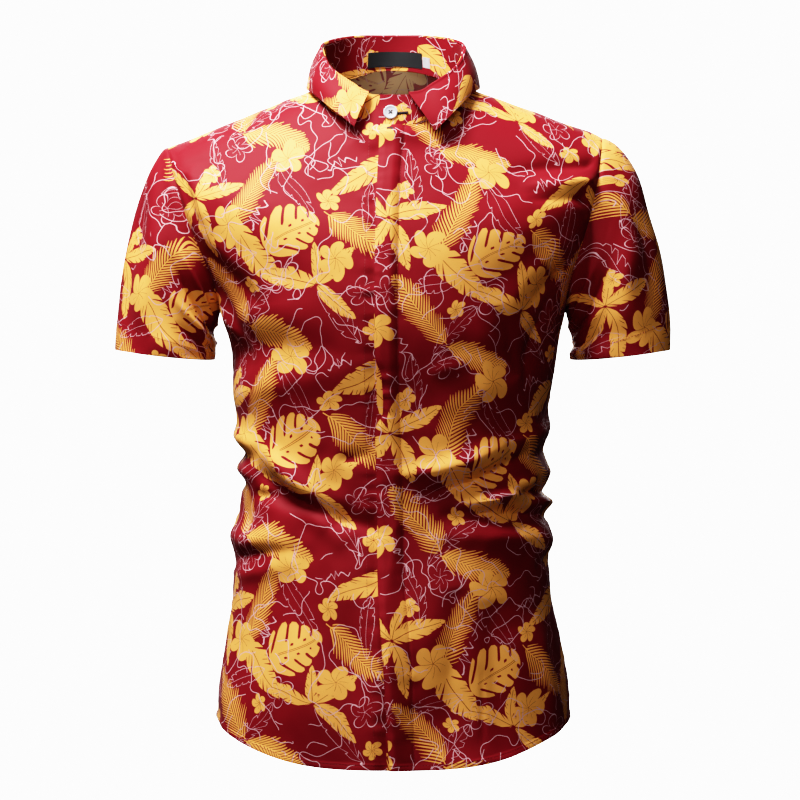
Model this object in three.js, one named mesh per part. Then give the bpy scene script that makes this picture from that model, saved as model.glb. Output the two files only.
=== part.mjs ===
// A short-sleeved button shirt with a pointed collar and a covered button front, filled out as if
// worn, with nobody inside. Every piece of cloth is a thin wall, open at neck, hem and cuffs.
//
// Frame, in millimetres: +Z up, -Y is the front, +X is the wearer's left. The origin is midway
// between the two points where the shoulder seams meet the collar, where shoulders carry the shirt.
import * as THREE from "three";

// Driving sizes
const CLOTH = 1.2;
const COLLAR_CLOTH = 1.2;
const SEAM_GAP = 0.3;
const SIDE_Y = 3;

const HEM = { front: -661, back: -667, side: -619 };
// How late each row turns up or down towards the side
const ROW_CURVE = { hem: 2.8, body: 2, shoulder: 3.4 };
// How square the body is from above: 2 is an ellipse
const FULLNESS = { body: 2.3, shoulder: 1.95, neck: 2.1 };
// Fractions of the side seam and of the armhole over which the rows' shape changes
const CHANGE = { hemRows: 1 / 3, fullnessFrom: 0.3, curveFrom: 0.4 };
const ARMPIT = { x: 172, z: -216, frontZ: -208, backZ: -218 };
const SHOULDER = { x: 217, z: -45, frontZ: -90, backZ: -25 };
const NECK = { x: 70, y: 0, z: 10, frontZ: -36, backZ: 31 };
const SCOOP = { front: 58, back: 52, backWider: 6 };
// How far the shoulders of the shirt have slid towards the wearer's right, and the slope they slide on
const SLIDE = { x: -8, slope: 0.62 };

// The covered button front: its free edge lies halfWidth off the button line, it stands lift proud,
// and it slopes down to the panel from a little inside its other edge
const FLY = { halfWidth: 12, lift: 3.8, slopeFrom: 10.5, slopeTo: 16 };
// The buttons' side of the front runs on under it, sunk a little from soft to flat
const UNDERLAP = { edge: 9, sink: 1.5, sinkFrom: -20, sinkTo: -12 };
const BAND = { from: -10.5, to: 9.5, top: -0.2, lastStep: 2.9 };
const BUTTON = { radius: 5.7, rim: 2, dish: 0.5 };
const COLLAR_BUTTON = { radius: 6.5, rim: 2.4, dish: 0.6, x: -2, height: 0.44 };
const BUTTON_EDGE = { round: 0.6, topRound: 0.5, rimWidth: 1.8, dishTo: 2.6, sides: 24 };
const BUTTON_ROWS = { first: -98, pitch: 92, count: 6 };

const STAND = { x: 66, frontY: -70, backY: 50, endLeft: -13, endRight: 13 };
// Where the stand's right end sinks inside its left end, in degrees round the neck, and how deep
const LAP = { from: 300, to: 335, depth: 1.6 };
const TAPE_GAP = 0.5;
const ROLL = { rise: 3.2, out: 6.5, bulge: 3 };
// Where the leaf starts on each side, in degrees round the neck, and how far its points have slid
// towards the wearer's left and down on that side, up to an angle
const LEAF_START = { left: 12.5, right: 19 };
const POINT_SLIDE = { x: 3, z: -2, until: 65 };
const LABEL = { fromX: -25, toX: 29, low: 0.12, high: 0.56, cloth: 0.8 };
const SIZE_TAB = { fromX: 29.6, toX: 37, low: 0.18, high: 0.46, cloth: 0.8 };

const CUFF = { x: 227.5, y: 2, halfX: 49.3, halfFront: 58, halfBack: 60 };
const CUFF_Z = { inner: -262, outer: -252, drop: 3 };
// How the sleeve's lines leave the armhole and arrive at the cuff, under the arm and over the shoulder.
// moreLeft is added on the wearer's left and taken off on the right, as the shirt has slid to the right.
const LEAVE = { outUnder: 20, outOver: 105, moreLeft: 40, spread: 15 };
const LEAVE_FALL = { base: 30, round: 40, moreLeft: 12 };
const ARRIVE = { outOver: 4, fallUnder: 45, fallOver: 200 };

// Number of steps along each section of a torso panel and around each piece
const STEPS = { armhole: 12, shoulder: 4, front: 7, back: 16, sleeve: 8 };
const NECK_STEPS = { stand: 3, leaf: 4, collar: 34, tape: 8 };
// Rows up the side seam: how many between one fraction of its height and the next, close at the waist
const SIDE_ROWS = [
  { from: 0, to: 0.34, count: 6 },
  { from: 0.34, to: 0.74, count: 14 },
  { from: 0.74, to: 1, count: 5 },
];

// Depth of the cloth on the centre lines, and width at the side seams, by height
const CENTRE_FRONT = [
  { z: -661, y: -124 },
  { z: -585, y: -123 },
  { z: -500, y: -117 },
  { z: -410, y: -112 },
  { z: -325, y: -117 },
  { z: -240, y: -127 },
  { z: -190, y: -129 },
  { z: -140, y: -121 },
  { z: -90, y: -102 },
  { z: -60, y: -87 },
  { z: -36, y: -76 },
];
const CENTRE_BACK = [
  { z: -667, y: 118 },
  { z: -560, y: 113 },
  { z: -470, y: 96 },
  { z: -400, y: 87 },
  { z: -320, y: 93 },
  { z: -240, y: 107 },
  { z: -160, y: 115 },
  { z: -90, y: 110 },
  { z: -30, y: 90 },
  { z: 10, y: 63 },
  { z: 31, y: 50 },
];
const SIDE_SEAM = [
  { z: -619, x: 176.5 },
  { z: -587, x: 174 },
  { z: -557, x: 170 },
  { z: -527, x: 166 },
  { z: -497, x: 160 },
  { z: -437, x: 156 },
  { z: -392, x: 152 },
  { z: -332, x: 155.5 },
  { z: -272, x: 161 },
  { z: -242, x: 165 },
  { z: -216, x: 172 },
];
const ARMHOLE_FRONT = [
  { z: -216, x: 172 },
  { z: -189, x: 176 },
  { z: -165, x: 184 },
  { z: -141, x: 193 },
  { z: -120, x: 200 },
  { z: -98, x: 206 },
  { z: -80, x: 210.5 },
  { z: -45, x: 217 },
];
// Where the middle of the covered button front runs, by height
const BUTTON_LINE = [
  { z: -661, x: 5 },
  { z: -560, x: 1 },
  { z: -480, x: -3 },
  { z: -400, x: -3 },
  { z: -300, x: -5 },
  { z: -180, x: -5 },
  { z: -90, x: -3 },
  { z: -36, x: 0 },
];
// Height of the stand's top, by angle round the neck from the centre front
const STAND_TOP = [
  { angle: 0, z: -3.5 },
  { angle: 16, z: -3 },
  { angle: 24, z: -0.5 },
  { angle: 33, z: 6.5 },
  { angle: 56, z: 22 },
  { angle: 90, z: 46.5 },
  { angle: 120, z: 56.5 },
  { angle: 150, z: 62.9 },
  { angle: 180, z: 65 },
];
// Lower edge of the collar leaf, by angle round the neck from the centre front
const LEAF_EDGE = [
  { angle: 16, x: 38, y: -91, z: -38 },
  { angle: 42, x: 59, y: -78, z: -20 },
  { angle: 65, x: 78, y: -43, z: -1 },
  { angle: 90, x: 87, y: 4, z: 9 },
  { angle: 120, x: 78, y: 42, z: 12 },
  { angle: 150, x: 46, y: 69, z: 16 },
  { angle: 180, x: 0, y: 77, z: 19 },
];
// Millimetres of cloth to a degree round the body, and how blunt the ends of a fold are
const FOLD_SHAPE = { perDegree: 2.2, ends: 0.8 };
// Largest folds: a soft ridge (height above 0) or trough from one point to another, where a is the
// angle round the body in degrees from the centre front, towards the wearer's left
const FOLDS = [
  { a0: 118, z0: -374, a1: 24, z1: -366, width: 14, height: 3 },
  { a0: 120, z0: -394, a1: 10, z1: -388, width: 12, height: -6 },
  { a0: 120, z0: -417, a1: 28, z1: -402, width: 13, height: 6 },
  { a0: 118, z0: -440, a1: 34, z1: -418, width: 12, height: -6 },
  { a0: 116, z0: -462, a1: 40, z1: -444, width: 15, height: 4 },
  { a0: 66, z0: -214, a1: 36, z1: -300, width: 22, height: -6 },
  { a0: -116, z0: -330, a1: -42, z1: -352, width: 14, height: 4 },
  { a0: -118, z0: -352, a1: -50, z1: -368, width: 12, height: -4 },
  { a0: -118, z0: -372, a1: -20, z1: -388, width: 12, height: 4 },
  { a0: -120, z0: -394, a1: -6, z1: -424, width: 12, height: -6 },
  { a0: -120, z0: -424, a1: -22, z1: -432, width: 14, height: 6 },
  { a0: -118, z0: -450, a1: -60, z1: -444, width: 14, height: -4 },
  { a0: -72, z0: -210, a1: -40, z1: -300, width: 22, height: -6 },
];

const radians = THREE.MathUtils.degToRad;
const mix = THREE.MathUtils.lerp;
const smooth = (v, from, to) => THREE.MathUtils.smoothstep(v, from, to);

// A smooth curve through a table's rows, as a function of its first column
function curveThrough(rows, key, value) {
  const slope = (i) => {
    const a = rows[Math.max(i - 1, 0)];
    const b = rows[Math.min(i + 1, rows.length - 1)];
    return (b[value] - a[value]) / (b[key] - a[key]);
  };
  return (k) => {
    const at = THREE.MathUtils.clamp(k, rows[0][key], rows[rows.length - 1][key]);
    let i = 0;
    while (i < rows.length - 2 && rows[i + 1][key] < at) i++;
    const span = rows[i + 1][key] - rows[i][key];
    const s = (at - rows[i][key]) / span;
    const bow = s * (1 - s);
    return (
      mix(rows[i][value], rows[i + 1][value], s * s * (3 - 2 * s)) +
      span * bow * ((1 - s) * slope(i) - s * slope(i + 1))
    );
  };
}

const frontY = curveThrough(CENTRE_FRONT, "z", "y");
const backY = curveThrough(CENTRE_BACK, "z", "y");
const sideX = curveThrough(SIDE_SEAM, "z", "x");
const armholeX = curveThrough(ARMHOLE_FRONT, "z", "x");
const buttonX = curveThrough(BUTTON_LINE, "z", "x");

// One row across half a torso panel: its point on the centre line and its point on the seam.
// t runs 0 to 1 up the side seam, 1 to 2 round the armhole and 2 to 3 along the shoulder seam.
function torsoRow(t, isBack, side = 1) {
  const part = Math.min(Math.floor(t), 2);
  const s = t - part;
  const centres = isBack
    ? [HEM.back, ARMPIT.backZ, SHOULDER.backZ, NECK.backZ]
    : [HEM.front, ARMPIT.frontZ, SHOULDER.frontZ, NECK.frontZ];
  const zc = mix(centres[part], centres[part + 1], s);
  const row = { zc, yc: isBack ? backY(zc) : frontY(zc), fullness: FULLNESS.body, curve: ROW_CURVE.body };
  if (part === 0) {
    row.ze = mix(HEM.side, ARMPIT.z, s);
    row.xe = sideX(row.ze);
    row.ye = SIDE_Y;
    row.curve = mix(ROW_CURVE.hem, ROW_CURVE.body, Math.min(1, s / CHANGE.hemRows));
  } else if (part === 1) {
    const round = Math.sin(Math.PI * s);
    row.ze = mix(ARMPIT.z, SHOULDER.z, (1 - Math.cos(Math.PI * s)) / 2);
    row.xe = armholeX(row.ze) + (isBack ? SCOOP.backWider * round : 0);
    row.ye = SIDE_Y + (isBack ? SCOOP.back : -SCOOP.front) * round;
    row.fullness = mix(FULLNESS.body, FULLNESS.shoulder, smooth(s, CHANGE.fullnessFrom, 1));
    row.curve = mix(ROW_CURVE.body, ROW_CURVE.shoulder, smooth(s, CHANGE.curveFrom, 1));
  } else {
    row.xe = mix(SHOULDER.x, NECK.x, s);
    row.ze = mix(SHOULDER.z, NECK.z, s);
    row.ye = mix(SIDE_Y, NECK.y, s);
    row.fullness = mix(FULLNESS.shoulder, FULLNESS.neck, s);
    row.curve = mix(ROW_CURVE.shoulder, ROW_CURVE.body, s);
  }
  const sideY = part === 2 ? row.ye : SIDE_Y;
  const power = 2 / row.fullness;
  const left = Math.max(0, (sideY - row.ye) / (sideY - row.yc));
  const endAngle = Math.acos(Math.min(1, left ** (1 / power)));
  const reach = Math.sin(endAngle);
  const slideShare = [0, (1 - Math.cos(Math.PI * s)) / 2, 1 - s][part];
  const slide = side * SLIDE.x * slideShare;
  row.xe += slide;
  row.ze -= slide * SLIDE.slope * (part === 1 ? s * s : 1);
  return {
    ...row,
    sideY,
    power,
    endAngle,
    x90: row.xe / reach ** power,
    z90: row.zc + (row.ze - row.zc) / reach ** row.curve,
  };
}

// The point at an angle from the centre line on a row, on the +X or the -X side
function onRow(row, angle) {
  const side = Math.sign(angle) || 1;
  const sine = Math.abs(Math.sin(angle));
  const cosine = Math.max(0, Math.cos(angle));
  return new THREE.Vector3(
    side * row.x90 * sine ** row.power,
    row.sideY + (row.yc - row.sideY) * cosine ** row.power,
    row.zc + (row.z90 - row.zc) * sine ** row.curve,
  );
}

const angleOfX = (row, x) => Math.sign(x) * Math.asin((Math.abs(x) / row.x90) ** (1 / row.power));

// How far the folds move the cloth outwards at an angle (degrees) and a height
function foldDepth(degrees, z) {
  let depth = 0;
  for (const f of FOLDS) {
    for (const turn of [-360, 0, 360]) {
      const px = (degrees + turn - f.a0) * FOLD_SHAPE.perDegree;
      const pz = z - f.z0;
      const dx = (f.a1 - f.a0) * FOLD_SHAPE.perDegree;
      const dz = f.z1 - f.z0;
      const length = Math.hypot(dx, dz);
      const along = (px * dx + pz * dz) / (length * length);
      const off = (pz * dx - px * dz) / length;
      if (along <= 0 || along >= 1) continue;
      const ends = Math.sin(Math.PI * along) ** FOLD_SHAPE.ends;
      depth += f.height * ends * Math.exp(-((off / f.width) ** 2));
    }
  }
  return depth;
}

// Normals of a grid of points, from its neighbours
function gridNormals(points, wrap, flip) {
  const rows = points.length;
  const cols = points[0].length;
  const within = (k, count) => THREE.MathUtils.clamp(k, 0, count - 1);
  const at = (i, j) => points[within(i, rows)][wrap ? (j + cols) % cols : within(j, cols)];
  return points.map((line, i) =>
    line.map((_, j) => {
      const up = at(i + 1, j).clone().sub(at(i - 1, j));
      const across = at(i, j + 1).clone().sub(at(i, j - 1));
      return across.cross(up).normalize().multiplyScalar(flip ? -1 : 1);
    }),
  );
}

// Moves each point of a grid along its normal
const pushed = (points, normals, by) =>
  points.map((line, i) => line.map((p, j) => p.clone().addScaledVector(normals[i][j], by(p, i, j))));

// Draws a grid's sewn sides back from their seams, in the cloth and square to each seam, by half the
// gap that neighbours keep
function drawnBack(points, sides, wrap) {
  const rows = points.length;
  const cols = points[0].length;
  const normals = gridNormals(points, wrap, false);
  const column = (j) => points.map((line) => line[j]);
  const moved = points.map((line) => line.map((p) => p.clone()));
  const shift = (seam, looped, sign, cell) => {
    const end = seam.length - 1;
    seam.forEach((_, k) => {
      const before = seam[looped ? (k + end) % (end + 1) : Math.max(k - 1, 0)];
      const after = seam[looped ? (k + 1) % (end + 1) : Math.min(k + 1, end)];
      const [i, j] = cell(k);
      const way = normals[i][j].clone().cross(after.clone().sub(before)).normalize();
      moved[i][j].addScaledVector(way, (sign * SEAM_GAP) / 2);
    });
  };
  if (sides.first) shift(points[0], wrap, 1, (k) => [0, k]);
  if (sides.last) shift(points[rows - 1], wrap, -1, (k) => [rows - 1, k]);
  if (sides.left) shift(column(0), false, -1, (k) => [k, 0]);
  if (sides.right) shift(column(cols - 1), false, 1, (k) => [k, cols - 1]);
  return moved;
}

// A closed wall: an outer grid, an inner one, and rims along the open sides
function wallGeometry(outer, inner, wrap) {
  const rows = outer.length;
  const cols = outer[0].length;
  const position = [...outer.flat(), ...inner.flat()].flatMap((p) => [p.x, p.y, p.z]);
  const layer = rows * cols;
  const out = (i, j) => i * cols + (j % cols);
  const inn = (i, j) => layer + out(i, j);
  const index = [];
  const quad = (a, b, c, d) => index.push(a, b, c, a, c, d);
  // Each cell is split along its shorter diagonal, as the ones at the shoulders are far from square
  for (let i = 0; i < rows - 1; i++) {
    for (let j = 0; j < (wrap ? cols : cols - 1); j++) {
      const next = (j + 1) % cols;
      const rising = outer[i][j].distanceTo(outer[i + 1][next]);
      const falling = outer[i][next].distanceTo(outer[i + 1][j]);
      if (rising <= falling) {
        quad(out(i, j), out(i, j + 1), out(i + 1, j + 1), out(i + 1, j));
        quad(inn(i, j), inn(i + 1, j), inn(i + 1, j + 1), inn(i, j + 1));
      } else {
        quad(out(i, j + 1), out(i + 1, j + 1), out(i + 1, j), out(i, j));
        quad(inn(i + 1, j), inn(i + 1, j + 1), inn(i, j + 1), inn(i, j));
      }
    }
  }
  // A sleeve's rim is split the same way up as the rim of the panel it faces
  for (let j = 0; j < (wrap ? cols : cols - 1); j++) {
    if (wrap && j >= cols / 2) quad(inn(0, j), inn(0, j + 1), out(0, j + 1), out(0, j));
    else quad(out(0, j), inn(0, j), inn(0, j + 1), out(0, j + 1));
    quad(out(rows - 1, j), out(rows - 1, j + 1), inn(rows - 1, j + 1), inn(rows - 1, j));
  }
  for (let i = 0; i < rows - 1 && !wrap; i++) {
    quad(out(i, 0), out(i + 1, 0), inn(i + 1, 0), inn(i, 0));
    quad(out(i, cols - 1), inn(i, cols - 1), inn(i + 1, cols - 1), out(i + 1, cols - 1));
  }
  const geometry = new THREE.BufferGeometry();
  geometry.setAttribute("position", new THREE.Float32BufferAttribute(position, 3));
  geometry.setIndex(volume(position, index) < 0 ? index.reverse() : index);
  geometry.computeVertexNormals();
  return geometry;
}

function volume(position, index) {
  const corner = (k) => new THREE.Vector3().fromArray(position, 3 * index[k]);
  let sum = 0;
  for (let k = 0; k < index.length; k += 3) sum += corner(k).dot(corner(k + 1).cross(corner(k + 2)));
  return sum / 6;
}

const offsetInwards = (points, normals, cloth) => pushed(points, normals, () => -cloth);

// Materials, one for each kind of stuff
const print = new THREE.MeshStandardMaterial({ color: 0x8e1222, roughness: 0.7, metalness: 0 });
const pearl = new THREE.MeshStandardMaterial({ color: 0xd9dbe4, roughness: 0.3, metalness: 0 });
const black = new THREE.MeshStandardMaterial({ color: 0x101012, roughness: 0.6, metalness: 0 });
const white = new THREE.MeshStandardMaterial({ color: 0xe6e6e6, roughness: 0.7, metalness: 0 });

const shirt = new THREE.Group();
function add(name, geometry, material) {
  const mesh = new THREE.Mesh(geometry, material);
  mesh.name = name;
  shirt.add(mesh);
  return mesh;
}

// The steps of t on every torso panel, so that panels meet point to point at their seams
const rowSteps = [];
const addRows = ({ from, to, count }) => {
  for (let k = 0; k < count; k++) rowSteps.push(mix(from, to, k / count));
};
SIDE_ROWS.forEach(addRows);
const armholeFrom = rowSteps.length;
addRows({ from: 1, to: 2, count: STEPS.armhole });
const armholeTo = rowSteps.length;
addRows({ from: 2, to: 3, count: STEPS.shoulder });
rowSteps.push(3);

// A front panel, from its edge on the button line to its side seam; side is 1 on +X, -1 on -X
function frontGrid(side) {
  return rowSteps.map((t) => {
    const row = torsoRow(t, false, side);
    const middle = buttonX(row.zc);
    const marks =
      side > 0
        ? [-FLY.halfWidth, 0, FLY.slopeFrom, FLY.slopeTo]
        : [UNDERLAP.edge, UNDERLAP.sinkTo, UNDERLAP.sinkFrom];
    const angles = marks.map((x) => side * angleOfX(row, middle + x));
    const last = angles.pop();
    for (let k = 0; k <= STEPS.front; k++) angles.push(mix(last, row.endAngle, k / STEPS.front));
    return angles.map((angle) => ({ row, middle, point: onRow(row, side * angle), angle: side * angle }));
  });
}

function frontPanel(side) {
  const grid = frontGrid(side);
  const base = grid.map((line) => line.map((c) => c.point));
  const fly = (p, cell) => {
    const x = p.x - cell.middle;
    if (side > 0) return FLY.lift * (1 - smooth(x, FLY.slopeFrom, FLY.slopeTo));
    return -UNDERLAP.sink * smooth(x, UNDERLAP.sinkFrom, UNDERLAP.sinkTo);
  };
  const depth = (p, i, j) => {
    const cell = grid[i][j];
    return fly(p, cell) + foldDepth(THREE.MathUtils.radToDeg(cell.angle), p.z);
  };
  return { base, normals: gridNormals(base, false, side < 0), depth };
}

function backPanel() {
  const rows = rowSteps.map((t) => {
    const line = [];
    for (let k = 0; k <= STEPS.back; k++) {
      const across = (2 * k) / STEPS.back - 1;
      const row = torsoRow(t, true, across < 0 ? -1 : 1);
      const angle = across * row.endAngle;
      line.push({ point: onRow(row, angle), degrees: 180 - THREE.MathUtils.radToDeg(angle) });
    }
    return line;
  });
  const base = rows.map((line) => line.map((c) => c.point));
  const depth = (p, i, j) => foldDepth(rows[i][j].degrees, p.z);
  return { base, normals: gridNormals(base, false, true), depth };
}

// A sleeve: each line of cloth leaves the armhole seam and turns down into the cuff
function sleeveGrid(side) {
  const lines = [];
  for (let k = 0; k < 2 * STEPS.armhole; k++) {
    const isBack = k > STEPS.armhole;
    const s = (isBack ? 2 * STEPS.armhole - k : k) / STEPS.armhole;
    const row = torsoRow(1 + s, isBack, side);
    const seam = new THREE.Vector3(row.xe, row.ye, row.ze);
    const round = Math.sin(Math.PI * s);
    const up = (1 - Math.cos(Math.PI * s)) / 2;
    const out = isBack ? 1 : -1;
    const half = isBack ? CUFF.halfBack : CUFF.halfFront;
    const cuff = new THREE.Vector3(
      CUFF.x - CUFF.halfX * Math.cos(Math.PI * s),
      CUFF.y + out * half * round,
      mix(CUFF_Z.inner, CUFF_Z.outer, up) - CUFF_Z.drop * round,
    );
    const leave = new THREE.Vector3(
      mix(LEAVE.outUnder, LEAVE.outOver + LEAVE.moreLeft * side, up),
      out * LEAVE.spread * round,
      -LEAVE_FALL.base - LEAVE_FALL.round * round - LEAVE_FALL.moreLeft * side * up,
    );
    const arrive = new THREE.Vector3(
      mix(0, ARRIVE.outOver, up),
      0,
      -mix(ARRIVE.fallUnder, ARRIVE.fallOver, up),
    );
    lines.push({ seam, leave, cuff, arrive });
  }
  const grid = [];
  for (let i = 0; i <= STEPS.sleeve; i++) {
    const s = i / STEPS.sleeve;
    grid.push(
      lines.map(({ seam, leave, cuff, arrive }) => {
        const p = seam.clone().multiplyScalar((1 + 2 * s) * (1 - s) ** 2);
        p.addScaledVector(leave, s * (1 - s) ** 2);
        p.addScaledVector(cuff, s * s * (3 - 2 * s));
        p.addScaledVector(arrive, s * s * (s - 1));
        return p.setX(side * p.x);
      }),
    );
  }
  return { base: grid, normals: gridNormals(grid, true, side > 0), depth: () => 0 };
}

// Gives pieces that share a seam one normal there, so that their edges face each other. Where three
// meet the sleeve counts twice, as much as the two panels together.
function shareNormals(...normals) {
  const sum = new THREE.Vector3();
  for (const n of normals) sum.add(n);
  sum.normalize();
  for (const n of normals) n.copy(sum);
}

function joinSeams(fronts, back, sleeves) {
  const last = (line) => line[line.length - 1];
  for (const side of [-1, 1]) {
    const front = fronts[side].normals;
    const sleeve = sleeves[side].normals[0];
    const backEdge = (i) => (side > 0 ? last(back.normals[i]) : back.normals[i][0]);
    rowSteps.forEach((_, i) => {
      const k = i - armholeFrom;
      const inArmhole = i >= armholeFrom && i <= armholeTo;
      if (!inArmhole) shareNormals(last(front[i]), backEdge(i));
      else if (k === 0 || i === armholeTo) shareNormals(last(front[i]), backEdge(i), sleeve[k], sleeve[k]);
      else {
        shareNormals(last(front[i]), sleeve[k]);
        shareNormals(backEdge(i), sleeve[2 * STEPS.armhole - k]);
      }
    });
  }
}

const fronts = { "-1": frontPanel(-1), 1: frontPanel(1) };
const back = backPanel();
const sleeves = { "-1": sleeveGrid(-1), 1: sleeveGrid(1) };
joinSeams(fronts, back, sleeves);

function addCloth(name, { base, normals, depth }, seams, cloth, wrap = false) {
  const outer = drawnBack(pushed(base, normals, depth), seams, wrap);
  add(name, wallGeometry(outer, offsetInwards(outer, normals, cloth), wrap), print);
}

addCloth("right_front", fronts[-1], { right: true, last: true }, CLOTH);
addCloth("left_front", fronts[1], { right: true, last: true }, CLOTH);
addCloth("back", back, { left: true, right: true, last: true }, CLOTH);
addCloth("right_sleeve", sleeves[-1], { first: true }, CLOTH, true);
addCloth("left_sleeve", sleeves[1], { first: true }, CLOTH, true);

// The strip with the buttonholes, under the covered front and over the buttons' side
function buttonholeBand() {
  const steps = rowSteps.filter((t) => t < BAND.lastStep);
  const grid = steps.map((t) => {
    const row = torsoRow(t, false);
    const middle = buttonX(row.zc);
    return [BAND.from, BAND.to].map((x) => onRow(row, angleOfX(row, middle + x)));
  });
  return { base: grid, normals: gridNormals(grid, false, false), depth: () => BAND.top };
}
addCloth("buttonhole_band", buttonholeBand(), { first: true }, CLOTH);

// A round four-hole button with a dished face, its back on z = 0 and its face towards +Z
function buttonGeometry({ radius, rim, dish }) {
  const profile = [
    [0, 0],
    [radius - BUTTON_EDGE.round, 0],
    [radius, BUTTON_EDGE.round],
    [radius, rim - BUTTON_EDGE.topRound],
    [radius - BUTTON_EDGE.round, rim],
    [radius - BUTTON_EDGE.rimWidth, rim],
    [radius - BUTTON_EDGE.dishTo, rim - dish],
    [0, rim - dish],
  ].map(([r, z]) => new THREE.Vector2(r, z));
  return new THREE.LatheGeometry(profile, BUTTON_EDGE.sides).rotateX(Math.PI / 2);
}

// Faces a button's +Z along a normal, with its back at a point
function placeButton(name, size, point, normal) {
  const mesh = add(name, buttonGeometry(size), pearl);
  mesh.position.copy(point);
  mesh.quaternion.setFromUnitVectors(new THREE.Vector3(0, 0, 1), normal);
}

function rowAtHeight(z) {
  const below = (z - HEM.front) / (ARMPIT.frontZ - HEM.front);
  const above = (z - ARMPIT.frontZ) / (SHOULDER.frontZ - ARMPIT.frontZ);
  return torsoRow(below < 1 ? below : 1 + above, false);
}

for (let k = 0; k < BUTTON_ROWS.count; k++) {
  const row = rowAtHeight(BUTTON_ROWS.first - k * BUTTON_ROWS.pitch);
  const angle = angleOfX(row, buttonX(row.zc));
  const here = onRow(row, angle);
  const above = onRow(rowAtHeight(row.zc + 1), angle);
  const aside = onRow(row, angle + 0.01);
  const normal = aside.sub(here).cross(above.sub(here)).normalize();
  if (normal.y > 0) normal.negate();
  const point = here.clone().addScaledVector(normal, BAND.top + SEAM_GAP);
  placeButton(`front_button_${k + 1}`, BUTTON, point, normal);
}

// The collar stand: a band that rises from the neck seam, its left end over its right end.
// turn is the angle round the neck: 0 at the centre front, 90 at the wearer's left shoulder.
function neckSeam(turn) {
  const around = THREE.MathUtils.euclideanModulo(turn + 180, 360) - 180;
  const isBack = Math.abs(around) > 90;
  const row = torsoRow(3, isBack);
  const angle = isBack ? Math.sign(around) * radians(180 - Math.abs(around)) : radians(around);
  return onRow(row, angle).add(new THREE.Vector3(0, 0, SEAM_GAP));
}

const standTopZ = curveThrough(STAND_TOP, "angle", "z");

function standTop(turn) {
  const angle = radians(turn);
  const cosine = Math.cos(angle);
  const middle = (STAND.frontY + STAND.backY) / 2;
  const depth = (STAND.backY - STAND.frontY) / 2;
  return new THREE.Vector3(
    STAND.x * Math.sin(angle),
    middle - depth * cosine,
    standTopZ(180 - Math.abs(THREE.MathUtils.euclideanModulo(turn, 360) - 180)),
  );
}

// Angles round the neck at which the stand's two ends lie, past the centre front
const endTurn = (x) => THREE.MathUtils.radToDeg(Math.asin(x / STAND.x));
const leftEnd = endTurn(STAND.endLeft);
const rightEnd = 360 + endTurn(STAND.endRight);

// The stand winds round once and laps over itself, so its right end lies inside its left end
const lapDepth = (turn) => LAP.depth * smooth(turn, LAP.from, LAP.to);

function standPoint(turn, height) {
  const low = neckSeam(turn);
  const high = standTop(turn);
  const p = low.lerp(high, height);
  const outwards = new THREE.Vector3(Math.sin(radians(turn)), -Math.cos(radians(turn)), 0);
  return p.addScaledVector(outwards, -lapDepth(turn));
}

function standGrid() {
  const grid = [];
  for (let i = 0; i <= NECK_STEPS.stand; i++) {
    const line = [];
    for (let j = 0; j <= NECK_STEPS.collar; j++) {
      line.push(standPoint(mix(leftEnd, rightEnd, j / NECK_STEPS.collar), i / NECK_STEPS.stand));
    }
    grid.push(line);
  }
  return { base: grid, normals: gridNormals(grid, false, false), depth: () => 0 };
}
addCloth("collar_stand", standGrid(), {}, COLLAR_CLOTH);

// The collar leaf: sewn to the top of the stand, rolled over and turned down to two points
const leafEdge = Object.fromEntries(["x", "y", "z"].map((k) => [k, curveThrough(LEAF_EDGE, "angle", k)]));

function leafPoint(turn, s) {
  const around = turn > 180 ? 360 - turn : turn;
  const side = turn > 180 ? -1 : 1;
  const top = standTop(around).setZ(standTop(around).z + SEAM_GAP);
  const outwards = new THREE.Vector3(Math.sin(radians(around)), -Math.cos(radians(around)), 0);
  const crest = top.clone().addScaledVector(outwards, ROLL.out / 2);
  crest.z += ROLL.rise;
  const fold = top.clone().addScaledVector(outwards, ROLL.out);
  const edge = new THREE.Vector3(leafEdge.x(around), leafEdge.y(around), leafEdge.z(around));
  const slid = side * (1 - smooth(around, LEAF_EDGE[0].angle, POINT_SLIDE.until));
  edge.x += POINT_SLIDE.x * slid;
  edge.z += POINT_SLIDE.z * slid;
  const p = new THREE.Vector3();
  if (s < 1) p.copy(top).lerp(crest, s);
  else if (s < 2) p.copy(crest).lerp(fold, s - 1);
  else {
    const down = s - 2;
    p.copy(fold).lerp(edge, down);
    p.addScaledVector(outwards, ROLL.bulge * Math.sin(Math.PI * down));
  }
  return p.setX(side * p.x);
}

function leafGrid() {
  const heights = [0, 1, 2];
  for (let k = 1; k < NECK_STEPS.leaf; k++) heights.push(2 + k / (NECK_STEPS.leaf - 1));
  const grid = heights.map((s) => {
    const line = [];
    for (let j = 0; j <= NECK_STEPS.collar; j++) {
      line.push(leafPoint(mix(LEAF_START.left, 360 - LEAF_START.right, j / NECK_STEPS.collar), s));
    }
    return line;
  });
  return { base: grid, normals: gridNormals(grid, false, false), depth: () => 0 };
}
addCloth("collar_leaf", leafGrid(), {}, COLLAR_CLOTH);

// The collar's button, on the outside of the stand's lapped end
const collarTurn = endTurn(COLLAR_BUTTON.x);
const collarPoint = standPoint(collarTurn, COLLAR_BUTTON.height);
const collarUp = standPoint(collarTurn, COLLAR_BUTTON.height + 0.1).sub(collarPoint);
const collarAcross = standPoint(collarTurn + 1, COLLAR_BUTTON.height).sub(collarPoint);
const collarNormal = collarAcross.cross(collarUp).normalize();
collarPoint.addScaledVector(collarNormal, SEAM_GAP);
placeButton("collar_button", COLLAR_BUTTON, collarPoint, collarNormal);

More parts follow.
